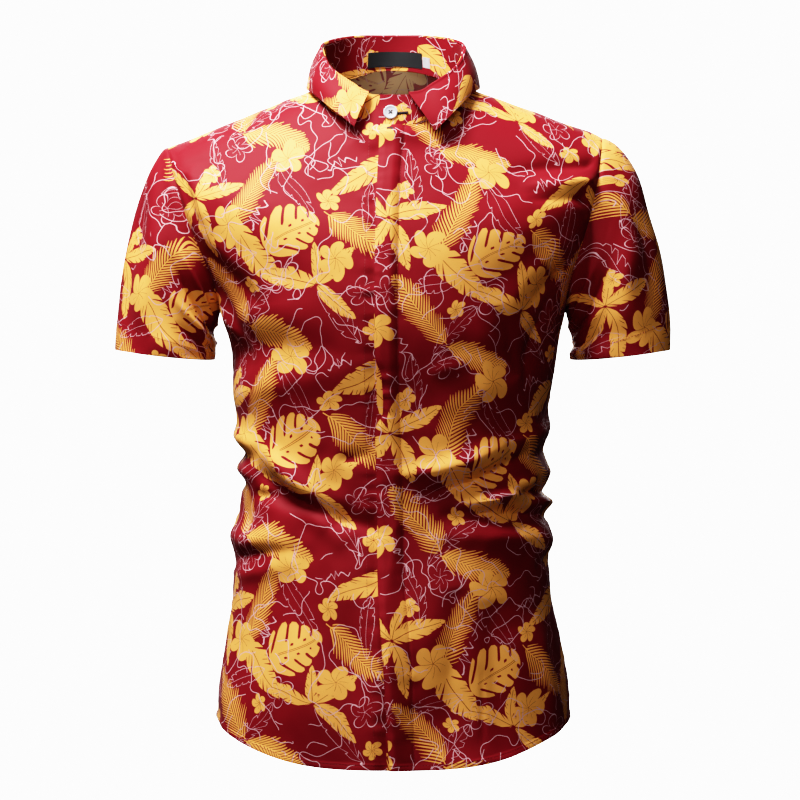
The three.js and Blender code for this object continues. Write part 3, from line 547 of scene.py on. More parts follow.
# Creases of the body: a soft ridge (height above 0) or trough from one point to another. The angles a
# run round the body in degrees, from the centre front towards the wearer's left, and z is the height.
# width is half the crease's width and bend bows its line, all in millimetres.
Crease = namedtuple("Crease", "a0 z0 a1 z1 width height bend")
PER_DEGREE = 2.5
CREASES = [Crease(*row) for row in (
    # The wearer's right front: from the armhole, then the chest, then the waist
    (-66, -78, -57, -140, 6, -2.6, 3),
    (-60, -70, -52, -142, 8, 2.4, 2),
    (-70, -150, -44, -222, 9, -2.4, 6),
    (-60, -136, -34, -236, 15, 2.6, 8),
    (-80, -200, -52, -262, 9, 3.5, -4),
    (-88, -300, -4, -268, 18, 4.2, -6),
    (-74, -246, -8, -262, 16, -2.6, 5),
    (-110, -333, -52, -350, 9, 5.0, 3),
    (-112, -352, -60, -357, 7, -4.6, -2),
    (-54, -350, -18, -420, 12, 5.4, 4),
    (-58, -372, 0, -430, 9, -6.6, -5),
    (-112, -371, -56, -378, 9, 4.4, 3),
    (-112, -391, -70, -384, 8, -5.0, 2),
    (-62, -396, -22, -407, 7, -4.0, 3),
    (-40, -384, -12, -440, 10, 2.6, -4),
    (-17, -361, -5, -355, 6, -2.4, 0),
    (-112, -430, -34, -442, 14, 5.4, -4),
    (-80, -462, -32, -449, 6, -2.4, 3),
    (-76, -476, -34, -462, 9, 2.2, -3),
    (-100, -463, -76, -467, 8, -1.8, 0),
    (-32, -520, -27, -664, 20, 2.6, 4),
    (-14, -500, -10, -664, 14, -1.8, 3),
    (-70, -540, -64, -660, 22, 2.0, -4),
    (-61, -80, -56, -118, 5, -2.6, 0),
    (-20, -45, 22, -45, 9, 6.0, 0),
    (-70, -185, -60, -276, 12, -3.2, 4),
    (-96, -268, -34, -250, 18, -5.0, 2),
    (-92, -226, -16, -226, 20, 2.8, 0),
    # The wearer's left front
    (34, -80, 84, -68, 7, -5.4, 2),
    (36, -94, 80, -86, 6, 4.4, 1),
    (36, -107, 76, -102, 6, -4.0, 0),
    (61, -196, 52, -300, 12, -5.0, -4),
    (84, -264, 16, -254, 18, -4.4, 2),
    (42, -84, 64, -134, 8, 3.0, -3),
    (50, -80, 68, -122, 6, -3.0, -2),
    (70, -158, 44, -230, 9, -2.6, -6),
    (61, -138, 34, -236, 15, 4.2, -8),
    (33, -212, 47, -280, 9, -3.6, 4),
    (24, -220, 34, -300, 13, 2.2, 3),
    (10, -279, 24, -268, 8, 2.2, 1),
    (12, -310, 60, -286, 15, 2.4, 4),
    (40, -346, 112, -326, 9, 4.4, 3),
    (0, -377, 44, -344, 10, 5.6, -4),
    (50, -362, 108, -352, 8, -4.4, 2),
    (6, -395, 60, -352, 7, -6.0, -5),
    (20, -406, 66, -380, 8, 6.0, -3),
    (38, -388, 112, -394, 6, -7.0, -3),
    (60, -374, 112, -368, 8, 3.4, -3),
    (14, -415, 112, -424, 8, -6.4, 5),
    (66, -402, 114, -408, 7, 6.0, 0),
    (10, -436, 114, -452, 13, 4.4, 5),
    (60, -466, 100, -456, 9, -3.0, 2),
    (29, -566, 27, -642, 2, -0.9, 0),
    (34, -498, 37, -650, 26, -4.6, -4),
    (58, -510, 62, -655, 18, 2.0, 3),
    (-4, -488, -3, -668, 11, 3.8, 2),
    (20, -486, 16, -650, 18, -4.4, -3),
    # The back
    (112, -326, 150, -352, 12, 4.0, 4),
    (108, -352, 170, -374, 10, -5.4, 6),
    (112, -388, 160, -396, 11, 5.2, 3),
    (112, -412, 186, -414, 9, -6.2, -5),
    (114, -424, 172, -440, 14, 4.6, -4),
    (124, -458, 168, -466, 9, -3.0, 2),
    (-112, -333, -150, -356, 11, 4.2, 4),
    (-112, -352, -168, -370, 9, -5.0, 5),
    (-112, -372, -156, -392, 11, 5.0, 3),
    (-112, -391, -176, -416, 9, -6.0, -4),
    (-112, -421, -170, -444, 14, 4.8, -4),
    (-128, -466, -166, -470, 9, -2.8, 2),
    (150, -110, 116, -216, 14, -4.2, 8),
    (160, -96, 128, -226, 18, 3.0, 8),
    (-150, -116, -118, -218, 14, -4.4, -8),
    (-162, -98, -128, -228, 18, 3.0, -8),
    (178, -480, 182, -664, 26, 2.8, 4),
    (148, -520, 144, -660, 20, 2.6, -4),
    (-150, -526, -147, -660, 20, 2.6, 4),
    (164, -300, 196, -308, 18, 2.4, 6),
)]
# The sleeves' creases: a runs round the sleeve in degrees, from under the arm over the front, and z
# down it, from 0 at the armhole to 1 at the cuff
SLEEVE_SIZES = {"per_degree": 0.95, "length": 165, "higher": {1: 1.25, -1: 1.4}, "turned": 6}
SLEEVE_CREASES = [Crease(*row) for row in (
    (8, 0.30, 84, 0.22, 7, 3.2, 4),
    (6, 0.46, 92, 0.36, 6, -3.6, 5),
    (8, 0.60, 84, 0.54, 7, 2.8, 4),
    (6, 0.76, 70, 0.71, 6, -2.6, 3),
    (10, 0.90, 62, 0.86, 7, 1.6, 2),
    (104, 0.20, 120, 0.98, 12, 2.2, 4),
    (134, 0.10, 142, 0.90, 10, -1.8, -3),
    (164, 0.06, 170, 0.94, 14, 1.8, 3),
    (352, 0.32, 276, 0.24, 7, 3.0, 4),
    (354, 0.50, 266, 0.40, 6, -3.4, 5),
    (352, 0.68, 280, 0.60, 7, 2.6, 3),
    (238, 0.15, 226, 0.96, 13, 2.2, 4),
    (204, 0.10, 200, 0.90, 11, -1.6, 3),
)]
# The shape of a crease: how sharp a ridge and a trough are across, how its ends fade, and its width
# at its start and how much it widens, as shares of its own width
CREASE = {"ridge": 1.8, "trough": 1.5, "ends": 0.7, "start": 0.8, "widens": 0.4}


def crease_depth(creases, across, up, periods):
    """How far creases move the cloth outwards. across and up are millimetres, and across repeats."""
    depth = np.zeros(np.broadcast(across, up).shape)
    for c, x0, y0, x1, y1 in creases:
        for turn in periods:
            px, py = across + turn - x0, up - y0
            dx, dy = x1 - x0, y1 - y0
            length = math.hypot(dx, dy)
            along = (px * dx + py * dy) / length**2
            inside = np.clip(along, 0, 1)
            off = (py * dx - px * dy) / length - 4 * c.bend * inside * (1 - inside)
            width = c.width * (CREASE["start"] + CREASE["widens"] * inside)
            sharp = CREASE["ridge" if c.height > 0 else "trough"]
            ends = np.sin(math.pi * inside) ** CREASE["ends"]
            depth += c.height * ends * np.exp(-np.abs(off / width) ** sharp)
    return depth


# Soft unevenness of worn cloth: waves whose counts round the body are whole, so that they close.
# Ripples are finer, and higher at the waist.
WAVES = {"count": 22, "most_round": 9, "heights": (90, 300), "size": 0.3}
RIPPLES = {"count": 34, "most_round": 46, "heights": (22, 60), "size": 0.022}
SLEEVE_WAVES = {"count": 22, "most_round": 7, "heights": (40, 160), "size": 0.3}
STAND_WAVES = {"count": 12, "most_round": 9, "heights": (30, 90), "size": 0.16}
LEAF_WAVES = {"count": 12, "most_round": 7, "heights": (30, 90), "size": 0.22}
BAND_WAVES = {"count": 6, "most_round": 0, "heights": (24, 60), "size": 0.2}
SEEDS = {"waves": 3, "ripples": 5, "sleeves": 11, "fly_stitch": 21, "fly_edge": 22, "under_stitch": 23,
         "seams": 31, "stand": 41, "leaf": 43, "band": 51}
WAIST = {"z": -395, "reach": 70, "more": 1.6}
# How many times as high the body's creases are from the waist down, in front and at the sides
WAIST_MORE = {"from": -300, "to": -335, "front": 1.6, "sides": 1.12, "sides_from": 58, "sides_to": 88}
BODY_CREASE_LINES = [(c, c.a0 * PER_DEGREE, c.z0, c.a1 * PER_DEGREE, c.z1) for c in CREASES]


def waves(turn, z, kind, seed):
    """Waves at an angle (radians) and a height, of a kind's sizes."""
    dice = np.random.default_rng(seed)
    depth = np.zeros(np.broadcast(turn, z).shape)
    for _ in range(kind["count"]):
        count = dice.integers(-kind["most_round"], kind["most_round"] + 1)
        height = dice.uniform(*kind["heights"])
        phase = dice.uniform(0, 2 * math.pi)
        depth += kind["size"] * np.sin(count * turn + 2 * math.pi * z / height + phase)
    return depth


def from_front(degrees):
    """Angles round the body as -180 to 180 from the centre front."""
    return (degrees + 180) % 360 - 180


def body_relief(degrees, z):
    turn = np.radians(degrees)
    periods = [k * 360 * PER_DEGREE for k in (-1, 0, 1)]
    depth = crease_depth(BODY_CREASE_LINES, degrees * PER_DEGREE, z, periods)
    in_front = 1 - smooth(np.abs(from_front(degrees)), WAIST_MORE["sides_from"], WAIST_MORE["sides_to"])
    more = mix(WAIST_MORE["sides"], WAIST_MORE["front"], in_front)
    depth = depth * mix(1, more, smooth(-z, -WAIST_MORE["from"], -WAIST_MORE["to"]))
    at_waist = 1 + WAIST["more"] * np.exp(-(((z - WAIST["z"]) / WAIST["reach"]) ** 2))
    ripples = at_waist * waves(turn, z, RIPPLES, SEEDS["ripples"])
    return depth + waves(turn, z, WAVES, SEEDS["waves"]) + ripples


def sleeve_relief(degrees, down, side):
    round_scale, down_scale = SLEEVE_SIZES["per_degree"], SLEEVE_SIZES["length"]
    lines = [(c._replace(height=c.height * SLEEVE_SIZES["higher"][side]),
              c.a0 * round_scale, c.z0 * down_scale, c.a1 * round_scale, c.z1 * down_scale)
             for c in SLEEVE_CREASES]
    along = down * down_scale
    depth = crease_depth(lines, (degrees + SLEEVE_SIZES["turned"] * side) * round_scale, along, [0])
    return depth + waves(np.radians(degrees), along, SLEEVE_WAVES, SEEDS["sleeves"] + side)


# Grid lines of the torso panels, shared so that they meet at their seams. The hem is turned up and
# stitched HEM_STITCH above its edge.
HEM_LINES = [0, 0.5, 2, 4, 4.8, 5.4, 6, 6.8, 8, 10.5, 13.5]
HEM_STITCH = 4.8
HEM_FOLD = {"start": 5.2, "end": 6.6, "height": 0.55, "groove": 0.35, "groove_width": 0.5}
SIDE_LENGTH = 430
STEP = 3.0
NECK_LINES = [2.975, 2.99, 3]
hem_fractions = np.array(HEM_LINES) / SIDE_LENGTH
side_count = int((SIDE_LENGTH - HEM_LINES[-1]) / STEP)
ARMHOLE_COUNT = 60
SHOULDER_COUNT = 38
row_steps = np.concatenate([
    hem_fractions[:-1],
    np.linspace(hem_fractions[-1], 1, side_count, endpoint=False),
    np.linspace(1, 2, ARMHOLE_COUNT, endpoint=False),
    np.linspace(2, NECK_LINES[0], SHOULDER_COUNT, endpoint=False),
    NECK_LINES,
])
armhole_from = len(hem_fractions) - 1 + side_count
armhole_to = armhole_from + ARMHOLE_COUNT
hem_row = HEM_LINES.index(HEM_STITCH)

# The thickness of the cloth, and the distances of the last columns from a panel's edge
CLOTH = 0.6
EDGE_COLUMNS = np.array([0.0, 1.2, 2.6, 4.5])
# A seam pulls the cloth in to a valley, which ends "clear" of a crossing seam, and calms creases near it
SEAM_VALLEY = {"depth": 0.9, "reach": 2.2, "clear": 3}
SEAM_CALM = 16
# Columns over the rest of a front, and over half the back
COLUMNS = {"front": 78, "back": 76}


# The covered button front, in millimetres from the button line, and how its free edge and its line of
# stitches wander with the height
FLY_EDGE = curve_through([(-661, -8), (-600, -9.5), (-520, -11), (-430, -12), (-345, -12.6), (-328, -11.6),
                          (-318, -5.6), (-306, -4.4), (-290, -5), (-276, -6.4), (-262, -11.6), (-200, -12.4),
                          (-110, -12.4), (-36, -12)])
FLY_STITCH = curve_through([(-661, 16), (-560, 16.5), (-460, 13.5), (-340, 11.5), (-250, 10), (-90, 10),
                            (-36, 12)])
# How the covered front stands up, between its edge and its stitches: less under the collar and more
# near the hem, which is "low", with a bulge at each button beneath it
FLY = {"lift": 4.4, "edge_lift": 3.2, "edge_slope": 6, "bulge": 0.4, "bulge_reach": 13, "panel": 0.3,
       "panel_reach": 14, "groove": 0.6, "groove_width": 1.6, "slope_before": (9, 24), "slope_after": (3, 6),
       "low": (430, 520), "low_lift": 1.6, "neck_lift": 0.6, "neck": (36, 56), "calm": 0.72, "folded": 0.7}
FLY_COLUMNS = {"edge": [0, 0.5], "edge_width": 1.2, "between": 12, "before_stitch": 2,
               "stitch": [-1.2, -0.6, 0, 0.6, 1.2, 2, 3.2, 4.8, 7]}
# Where the edge of the covered front wavers most, each (height, reach, share)
FLY_GAPS = [(-303, 22, 1), (-434, 10, 0.6)]
PUCKERS = {"stitch": 0.1, "edge": 0.07, "gap": 0.26, "edge_scale": 1.3, "under_stitch": 0.14, "seam": 0.22,
           "seam_reach": 8, "count": 7, "lengths": (9, 30), "phases": (0, 6.3)}
# The buttons' side runs on under the other, up to its own edge, and sinks between "from" and "to"
UNDERLAP = {"edge": 9, "sink": 1.2, "from": -22, "to": -13, "stitch": -17, "calm": (-14, -10), "columns": 15}
BUTTON_ROWS = {"first": -98, "pitch": 92, "count": 6}
button_heights = [BUTTON_ROWS["first"] - k * BUTTON_ROWS["pitch"] for k in range(BUTTON_ROWS["count"])]


def unit(v):
    return v / np.maximum(np.linalg.norm(v, axis=-1, keepdims=True), 1e-9)


def grid_normals(points, ring=False):
    """Outward normals of a grid of points whose rows go up or down and whose columns go round."""
    padded = np.pad(points, ((0, 0), (1, 1), (0, 0)), mode="wrap") if ring else points
    across = np.gradient(padded, axis=1)
    if ring:
        across = across[:, 1:-1]
    up = np.gradient(points, axis=0)
    normals = unit(np.cross(across, up))
    outwards = points - points.mean(axis=(0, 1))
    outwards[..., 2] = 0
    return normals if np.sum(normals * outwards) > 0 else -normals


def nearest_on(points, line):
    """The distance from each point of a grid to the nearest point of a line."""
    flat = points.reshape(-1, 3)
    best = np.full(len(flat), np.inf)
    for p in line:
        best = np.minimum(best, np.sum((flat - p) ** 2, axis=1))
    return np.sqrt(best).reshape(points.shape[:2])


def valley(distance):
    return -SEAM_VALLEY["depth"] * np.exp(-((distance / SEAM_VALLEY["reach"]) ** 2))


def seam_puckers(distance, along, seed, reach=9.0, size=0.35):
    """Small gathers that stitching leaves across a seam, along its length in millimetres."""
    dice = np.random.default_rng(seed)
    depth = np.zeros(np.broadcast(distance, along).shape)
    for _ in range(PUCKERS["count"]):
        length, phase = dice.uniform(*PUCKERS["lengths"]), dice.uniform(*PUCKERS["phases"])
        depth = depth + size * np.sin(2 * math.pi * along / length + phase)
    return depth * np.exp(-((distance / reach) ** 2))


def fold_relief(above, stitch, fold):
    """A turned-up hem: one more layer of cloth below its line of stitches, which pulls in a groove."""
    layer = fold["height"] * (1 - smooth(above, fold["start"], fold["end"]))
    return layer - fold["groove"] * np.exp(-(((above - stitch) / fold["groove_width"]) ** 2))


def cut_map(points, normals, axis, start):
    """Where each point lay in the flat cloth, in millimetres: across from the start column, and up."""
    across = unit(np.cross(axis, normals))
    up = np.cross(normals, across)
    steps = np.diff(points, axis=1)
    half = lambda field: (field[:, 1:] + field[:, :-1]) / 2
    du, dv = np.sum(steps * half(across), axis=-1), np.sum(steps * half(up), axis=-1)
    cut = np.zeros(points.shape[:2] + (2,))
    for k, change in enumerate((du, dv)):
        total = np.concatenate([np.zeros((len(points), 1)), np.cumsum(change, axis=1)], axis=1)
        cut[..., k] = total - total[:, start:start + 1]
    rise = np.sum(np.diff(points[:, start], axis=0) * (up[1:, start] + up[:-1, start]) / 2, axis=-1)
    cut[..., 1] += np.concatenate([[0], np.cumsum(rise)]).reshape(-1, 1)
    return cut

# The columns bend at the shoulder's height, and are evened out this many rows up and down from there
KINK = {"reach": 13, "near_seam": 22, "least": 0.02}


def without_kink(points):
    """The points with that bend evened out, away from the seam."""
    to_seam = np.linalg.norm(points - points[:, -1:], axis=-1)
    reach = KINK["reach"]
    weights = np.cos(np.linspace(-1, 1, 2 * reach + 1) * math.pi / 2) + KINK["least"]
    weights = weights / weights.sum()
    evened = points.copy()
    for i in range(armhole_to - reach, armhole_to + reach + 1):
        near = max(0, 1 - abs(i - armhole_to) / (reach + 1)) ** 0.5
        mean = np.tensordot(weights, points[i - reach:i + reach + 1], 1)
        evened[i] = mix(points[i], mean, near * smooth(to_seam[i], 0, KINK["near_seam"])[:, None])
    return evened


class Panel:
    """A piece of cloth before it is thickened: a grid of points, its normals and its relief."""

    def __init__(self, points, ring=False, cloth=CLOTH):
        self.points, self.ring = points, ring
        self.normals = grid_normals(points, ring)
        self.relief = np.zeros(points.shape[:2])
        self.cloth = np.full(points.shape[:2], cloth)

    def outer(self):
        return self.points + self.normals * self.relief[..., None]

    def inner(self):
        return self.points + self.normals * (self.relief - self.cloth)[..., None]


def edge_spread(count, length=250.0):
    """Fractions from 0 to 1, evenly spaced but close together at the end."""
    close = 1 - EDGE_COLUMNS[::-1] / length
    return np.concatenate([np.linspace(0, close[0], count, endpoint=False), close])


def fly_relief(relief, x, z, edge, stitch):
    """The left front's relief with its covered front, and the share of each point that lies on it."""
    low = smooth(-z, *FLY["low"])
    on_fly = 1 - smooth(x, stitch - mix(*FLY["slope_before"], low), stitch + mix(*FLY["slope_after"], low))
    on_fly = on_fly * mix(FLY["neck_lift"], 1, smooth(-z, *FLY["neck"]))
    beside = np.maximum.reduce([np.exp(-(((z - h) / FLY["bulge_reach"]) ** 2)) for h in button_heights])
    rise = mix(FLY["edge_lift"], FLY["lift"], smooth(x, edge, edge + FLY["edge_slope"]))
    rise = (rise + FLY["bulge"] * beside) * mix(1, FLY["low_lift"], low)
    settle = FLY["panel"] * (1 - smooth(x, stitch, stitch + FLY["panel_reach"]))
    groove = -FLY["groove"] * np.exp(-(((x - stitch) / FLY["groove_width"]) ** 2))
    relief = relief * mix(1, FLY["calm"], on_fly) + rise * on_fly + settle + groove
    relief = relief + seam_puckers(np.abs(x - stitch), z, SEEDS["fly_stitch"], size=PUCKERS["stitch"])
    gap = sum(share * np.exp(-(((z - height) / reach) ** 2)) for height, reach, share in FLY_GAPS)
    wavers = seam_puckers(np.abs(x - edge), z * PUCKERS["edge_scale"], SEEDS["fly_edge"], size=1)
    return relief + wavers * (PUCKERS["edge"] + PUCKERS["gap"] * gap), on_fly


def front_panel(side):
    rows = Rows(row_steps, False, side)
    middle = button_x(rows.zc)
    if side > 0:
        edge, stitch = FLY_EDGE(rows.zc), FLY_STITCH(rows.zc)
        folded = edge + FLY_COLUMNS["edge_width"]
        between = np.linspace(0, 1, FLY_COLUMNS["between"]).reshape(1, -1)
        offsets = np.concatenate([
            mix(edge, folded, np.array([FLY_COLUMNS["edge"]])),
            mix(folded, stitch - FLY_COLUMNS["before_stitch"], between),
            stitch + np.array([FLY_COLUMNS["stitch"]]),
        ], axis=1)
    else:
        offsets = np.linspace(UNDERLAP["edge"], UNDERLAP["from"], UNDERLAP["columns"])
        offsets = offsets.reshape(1, -1) + 0 * middle
    angles = rows.angle_of(middle + offsets)
    rest = mix(angles[:, -1:], side * rows.end, edge_spread(COLUMNS["front"]).reshape(1, -1))
    angles = np.concatenate([angles, rest[:, 1:]], axis=1)
    points = rows.points(angles)
    panel = Panel(without_kink(points))
    x, z = points[..., 0] - middle, panel.points[..., 2]
    panel.relief = body_relief(np.degrees(angles), z)
    if side > 0:
        panel.relief, on_fly = fly_relief(panel.relief, x, z, edge, stitch)
        panel.cloth = CLOTH + FLY["folded"] * on_fly * (x < stitch)
    else:
        sunk = panel.relief - UNDERLAP["sink"] * smooth(x, UNDERLAP["from"], UNDERLAP["to"])
        to_stitch = np.abs(x - UNDERLAP["stitch"])
        sunk = sunk + seam_puckers(to_stitch, z, SEEDS["under_stitch"], size=PUCKERS["under_stitch"])
        panel.relief = sunk * mix(1, FLY["calm"], smooth(x, *UNDERLAP["calm"]))
    panel.cut = cut_map(panel.points, panel.normals, (0, 0, 1), 0)
    panel.cut[..., 0] += offsets[:, :1] + middle
    return panel


def back_panel():
    spread = edge_spread(COLUMNS["back"])
    columns = {}
    for side in (-1, 1):
        rows = Rows(row_steps, True, side)
        angle = side * rows.end * spread.reshape(1, -1)
        columns[side] = (without_kink(rows.points(angle)), 180 - np.degrees(angle))
    join = lambda k: np.concatenate([columns[-1][k][:, :0:-1], columns[1][k]], axis=1)
    panel = Panel(join(0))
    panel.relief = body_relief(join(1), panel.points[..., 2])
    panel.cut = cut_map(panel.points, panel.normals, (0, 0, 1), len(spread) - 1)
    return panel


SLEEVE_HEM_LINES = [0, 0.5, 2, 8, 14, 18.4, 19, 19.6, 20.4, 21.4, 23]
SLEEVE_STITCH = 19.0
SLEEVE_FOLD = {"start": 19.6, "end": 21, "height": 0.4, "groove": 0.35, "groove_width": 0.6}
SLEEVE_ROWS = 50
SLEEVE_LENGTH = 150.0


def sleeve_panel(side):
    """Each line of cloth leaves the armhole seam and turns down into the cuff."""
    k = np.arange(2 * ARMHOLE_COUNT + 1)
    behind = k > ARMHOLE_COUNT
    s = np.where(behind, 2 * ARMHOLE_COUNT - k, k) / ARMHOLE_COUNT
    front, rear = (Rows(1 + np.minimum(s, 1 - 1e-9), is_back, side) for is_back in (False, True))
    pick = lambda name: np.where(behind, getattr(rear, name)[:, 0], getattr(front, name)[:, 0])
    seam = np.stack([pick("xe"), pick("ye"), pick("ze")], axis=-1)
    hump, up = np.sin(np.pi * s), (1 - np.cos(np.pi * s)) / 2
    out = np.where(behind, 1, -1)
    half = np.where(behind, CUFF["half_back"], CUFF["half_front"])
    cuff = np.stack([
        CUFF["x"] - CUFF["half_x"] * np.cos(np.pi * s),
        CUFF["y"] + out * half * hump,
        mix(CUFF_Z["inner"], CUFF_Z["outer"], up) - CUFF_Z["drop"] * hump,
    ], axis=-1)
    leave = np.stack([
        mix(LEAVE["out_under"], LEAVE["out_over"] + LEAVE["more_left"] * side, up),
        out * LEAVE["spread"] * hump,
        -LEAVE_FALL["base"] - LEAVE_FALL["round"] * hump - LEAVE_FALL["more_left"] * side * up,
    ], axis=-1)
    arrive = np.stack([
        mix(0, ARRIVE["out_over"], up), 0 * up, -mix(ARRIVE["fall_under"], ARRIVE["fall_over"], up),
    ], axis=-1)
    hem = np.array(SLEEVE_HEM_LINES[::-1]) / SLEEVE_LENGTH
    start = EDGE_COLUMNS / SLEEVE_LENGTH
    between = np.linspace(start[-1], 1 - hem[0], SLEEVE_ROWS, endpoint=False)
    down = np.concatenate([start[:-1], between, 1 - hem])
    d = down.reshape(-1, 1, 1)
    points = (seam * (1 + 2 * d) * (1 - d) ** 2 + leave * d * (1 - d) ** 2
              + cuff * d * d * (3 - 2 * d) + arrive * d * d * (d - 1))
    points[..., 0] *= side
    panel = Panel(points[:, :-1], ring=True)
    degrees = (k[:-1] * 180 / ARMHOLE_COUNT).reshape(1, -1)
    steps = np.linalg.norm(np.diff(points[:, :-1], axis=0), axis=-1)
    to_seam = np.concatenate([np.zeros((1, steps.shape[1])), np.cumsum(steps, axis=0)])
    to_cuff = to_seam[-1:] - to_seam
    calm = smooth(to_seam, 0, SEAM_CALM)
    panel.relief = sleeve_relief(degrees, down.reshape(-1, 1), side) * calm + valley(to_seam)
    panel.relief = panel.relief + fold_relief(to_cuff, SLEEVE_STITCH, SLEEVE_FOLD)
    panel.hem_row = len(down) - 1 - SLEEVE_HEM_LINES.index(SLEEVE_STITCH)
    wrapped_normals = np.concatenate([panel.normals, panel.normals[:, :1]], axis=1)
    axis = unit(seam.mean(axis=0) - cuff.mean(axis=0)) * np.array([side, 1, 1])
    panel.cut = cut_map(points, wrapped_normals, axis, ARMHOLE_COUNT)
    return panel


def share_normals(*views):
    total = unit(sum(views))
    for view in views:
        view[...] = total


fronts = {side: front_panel(side) for side in (-1, 1)}
back = back_panel()
sleeves = {side: sleeve_panel(side) for side in (-1, 1)}

# Where the panels meet at their seams they share their normals, and sink into a valley
side_seam, shoulder_seam = slice(0, armhole_from), slice(armhole_to + 1, None)
for side in (-1, 1):
    front, sleeve = fronts[side], sleeves[side]
    back_edge = -1 if side > 0 else 0
    for part in (side_seam, shoulder_seam):
        share_normals(front.normals[part, -1], back.normals[part, back_edge])
    share_normals(front.normals[armhole_from + 1:armhole_to, -1], sleeve.normals[0, 1:ARMHOLE_COUNT])
    share_normals(back.normals[armhole_from + 1:armhole_to, back_edge], sleeve.normals[0, :ARMHOLE_COUNT:-1])
    for row, column in ((armhole_from, 0), (armhole_to, ARMHOLE_COUNT)):
        share_normals(front.normals[row, -1], back.normals[row, back_edge], sleeve.normals[0, column])
    for panel, edge in ((front, -1), (back, back_edge)):
        near = nearest_on(panel.points, panel.points[armhole_from:armhole_to + 1, edge])
        calm = smooth(near, 0, SEAM_CALM)
        panel.relief = panel.relief * calm + valley(near)
        for part in (side_seam, shoulder_seam):
            seam = nearest_on(panel.points, panel.points[part, edge])
            panel.relief = panel.relief + valley(seam) * smooth(near, 0, SEAM_VALLEY["clear"])
            gathers = seam_puckers(seam, panel.points[..., 2], SEEDS["seams"] + side,
                                   PUCKERS["seam_reach"], PUCKERS["seam"])
            panel.relief = panel.relief + gathers * calm
# The hem, on the rows up the side seam
above = (row_steps * SIDE_LENGTH).reshape(-1, 1)
hem_relief = np.where(row_steps.reshape(-1, 1) < 1, fold_relief(above, HEM_STITCH, HEM_FOLD), 0)
for panel in (fronts[-1], fronts[1], back):
    panel.relief = panel.relief + hem_relief


def grid_cells(rows, columns):
    """The cells of a grid: the (row, column) index arrays of their four corners."""
    i, j = np.divmod(np.arange(rows * columns), columns)
    return [(i, j), (i, j + 1), (i + 1, j + 1), (i + 1, j)]


def make_mesh(name, vertices, faces, materials, face_slots=None, uv=None, sharp=math.radians(48)):
    """A smooth-shaded mesh object, in metres, from millimetres. faces is an array of quads or a list."""
    mesh = bpy.data.meshes.new(name)
    mesh.vertices.add(len(vertices))
    mesh.vertices.foreach_set("co", (np.asarray(vertices) * MM).ravel())
    sizes = [len(face) for face in faces]
    corners = np.concatenate(faces)
    mesh.loops.add(len(corners))
    mesh.loops.foreach_set("vertex_index", corners.astype(np.int32))
    mesh.polygons.add(len(faces))
    mesh.polygons.foreach_set("loop_start", np.concatenate([[0], np.cumsum(sizes)[:-1]]).astype(np.int32))
    mesh.update(calc_edges=True)
    for material in materials:
        mesh.materials.append(material)
    if face_slots is not None:
        mesh.polygons.foreach_set("material_index", face_slots.astype(np.int32))
    if uv is not None:
        mesh.uv_layers.new(name="cut").data.foreach_set("uv", (uv * MM).ravel())
    mesh.shade_smooth()
    mesh.set_sharp_from_angle(angle=sharp)
    mesh.validate()
    obj = bpy.data.objects.new(name, mesh)
    bpy.context.scene.collection.objects.link(obj)
    return obj


def join_parts(parts):
    """One list of vertices and one of faces, from parts that are each (vertices, faces)."""
    vertices, faces, base = [], [], 0
    for part_vertices, part_faces in parts:
        vertices.append(part_vertices)
        faces += [[k + base for k in face] for face in part_faces]
        base += len(part_vertices)
    return np.concatenate(vertices), faces


def circle(sides):
    turn = np.arange(sides) * 2 * math.pi / sides
    return np.cos(turn)[:, None], np.sin(turn)[:, None]


def tube(rings):
    """The vertices and faces of a tube round rings of points, with a cap at each end."""
    count, sides = rings.shape[:2]
    quads = np.stack([i * sides + j % sides for i, j in grid_cells(count - 1, sides)], axis=1).tolist()
    caps = [list(range(sides))[::-1], list(range((count - 1) * sides, count * sides))]
    return rings.reshape(-1, 3), quads + caps


def thread_tube(points, normal, radius, sides=8):
    ahead = unit(np.gradient(points, axis=0))
    side = unit(np.cross(ahead, normal))
    up = np.cross(side, ahead)
    cosine, sine = circle(sides)
    return tube(points[:, None] + radius * (cosine * side[:, None] + sine * up[:, None]))


def thread_piece(name, parts, material):
    """A piece of many threads, each (vertices, faces)."""
    obj = make_mesh(name, *join_parts(parts), [material])
    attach(obj, "root")


def signed_volume(vertices, quads):
    a, b, c, d = (vertices[quads[:, k]] for k in range(4))
    return np.sum(a * np.cross(b, c)) + np.sum(a * np.cross(c, d))


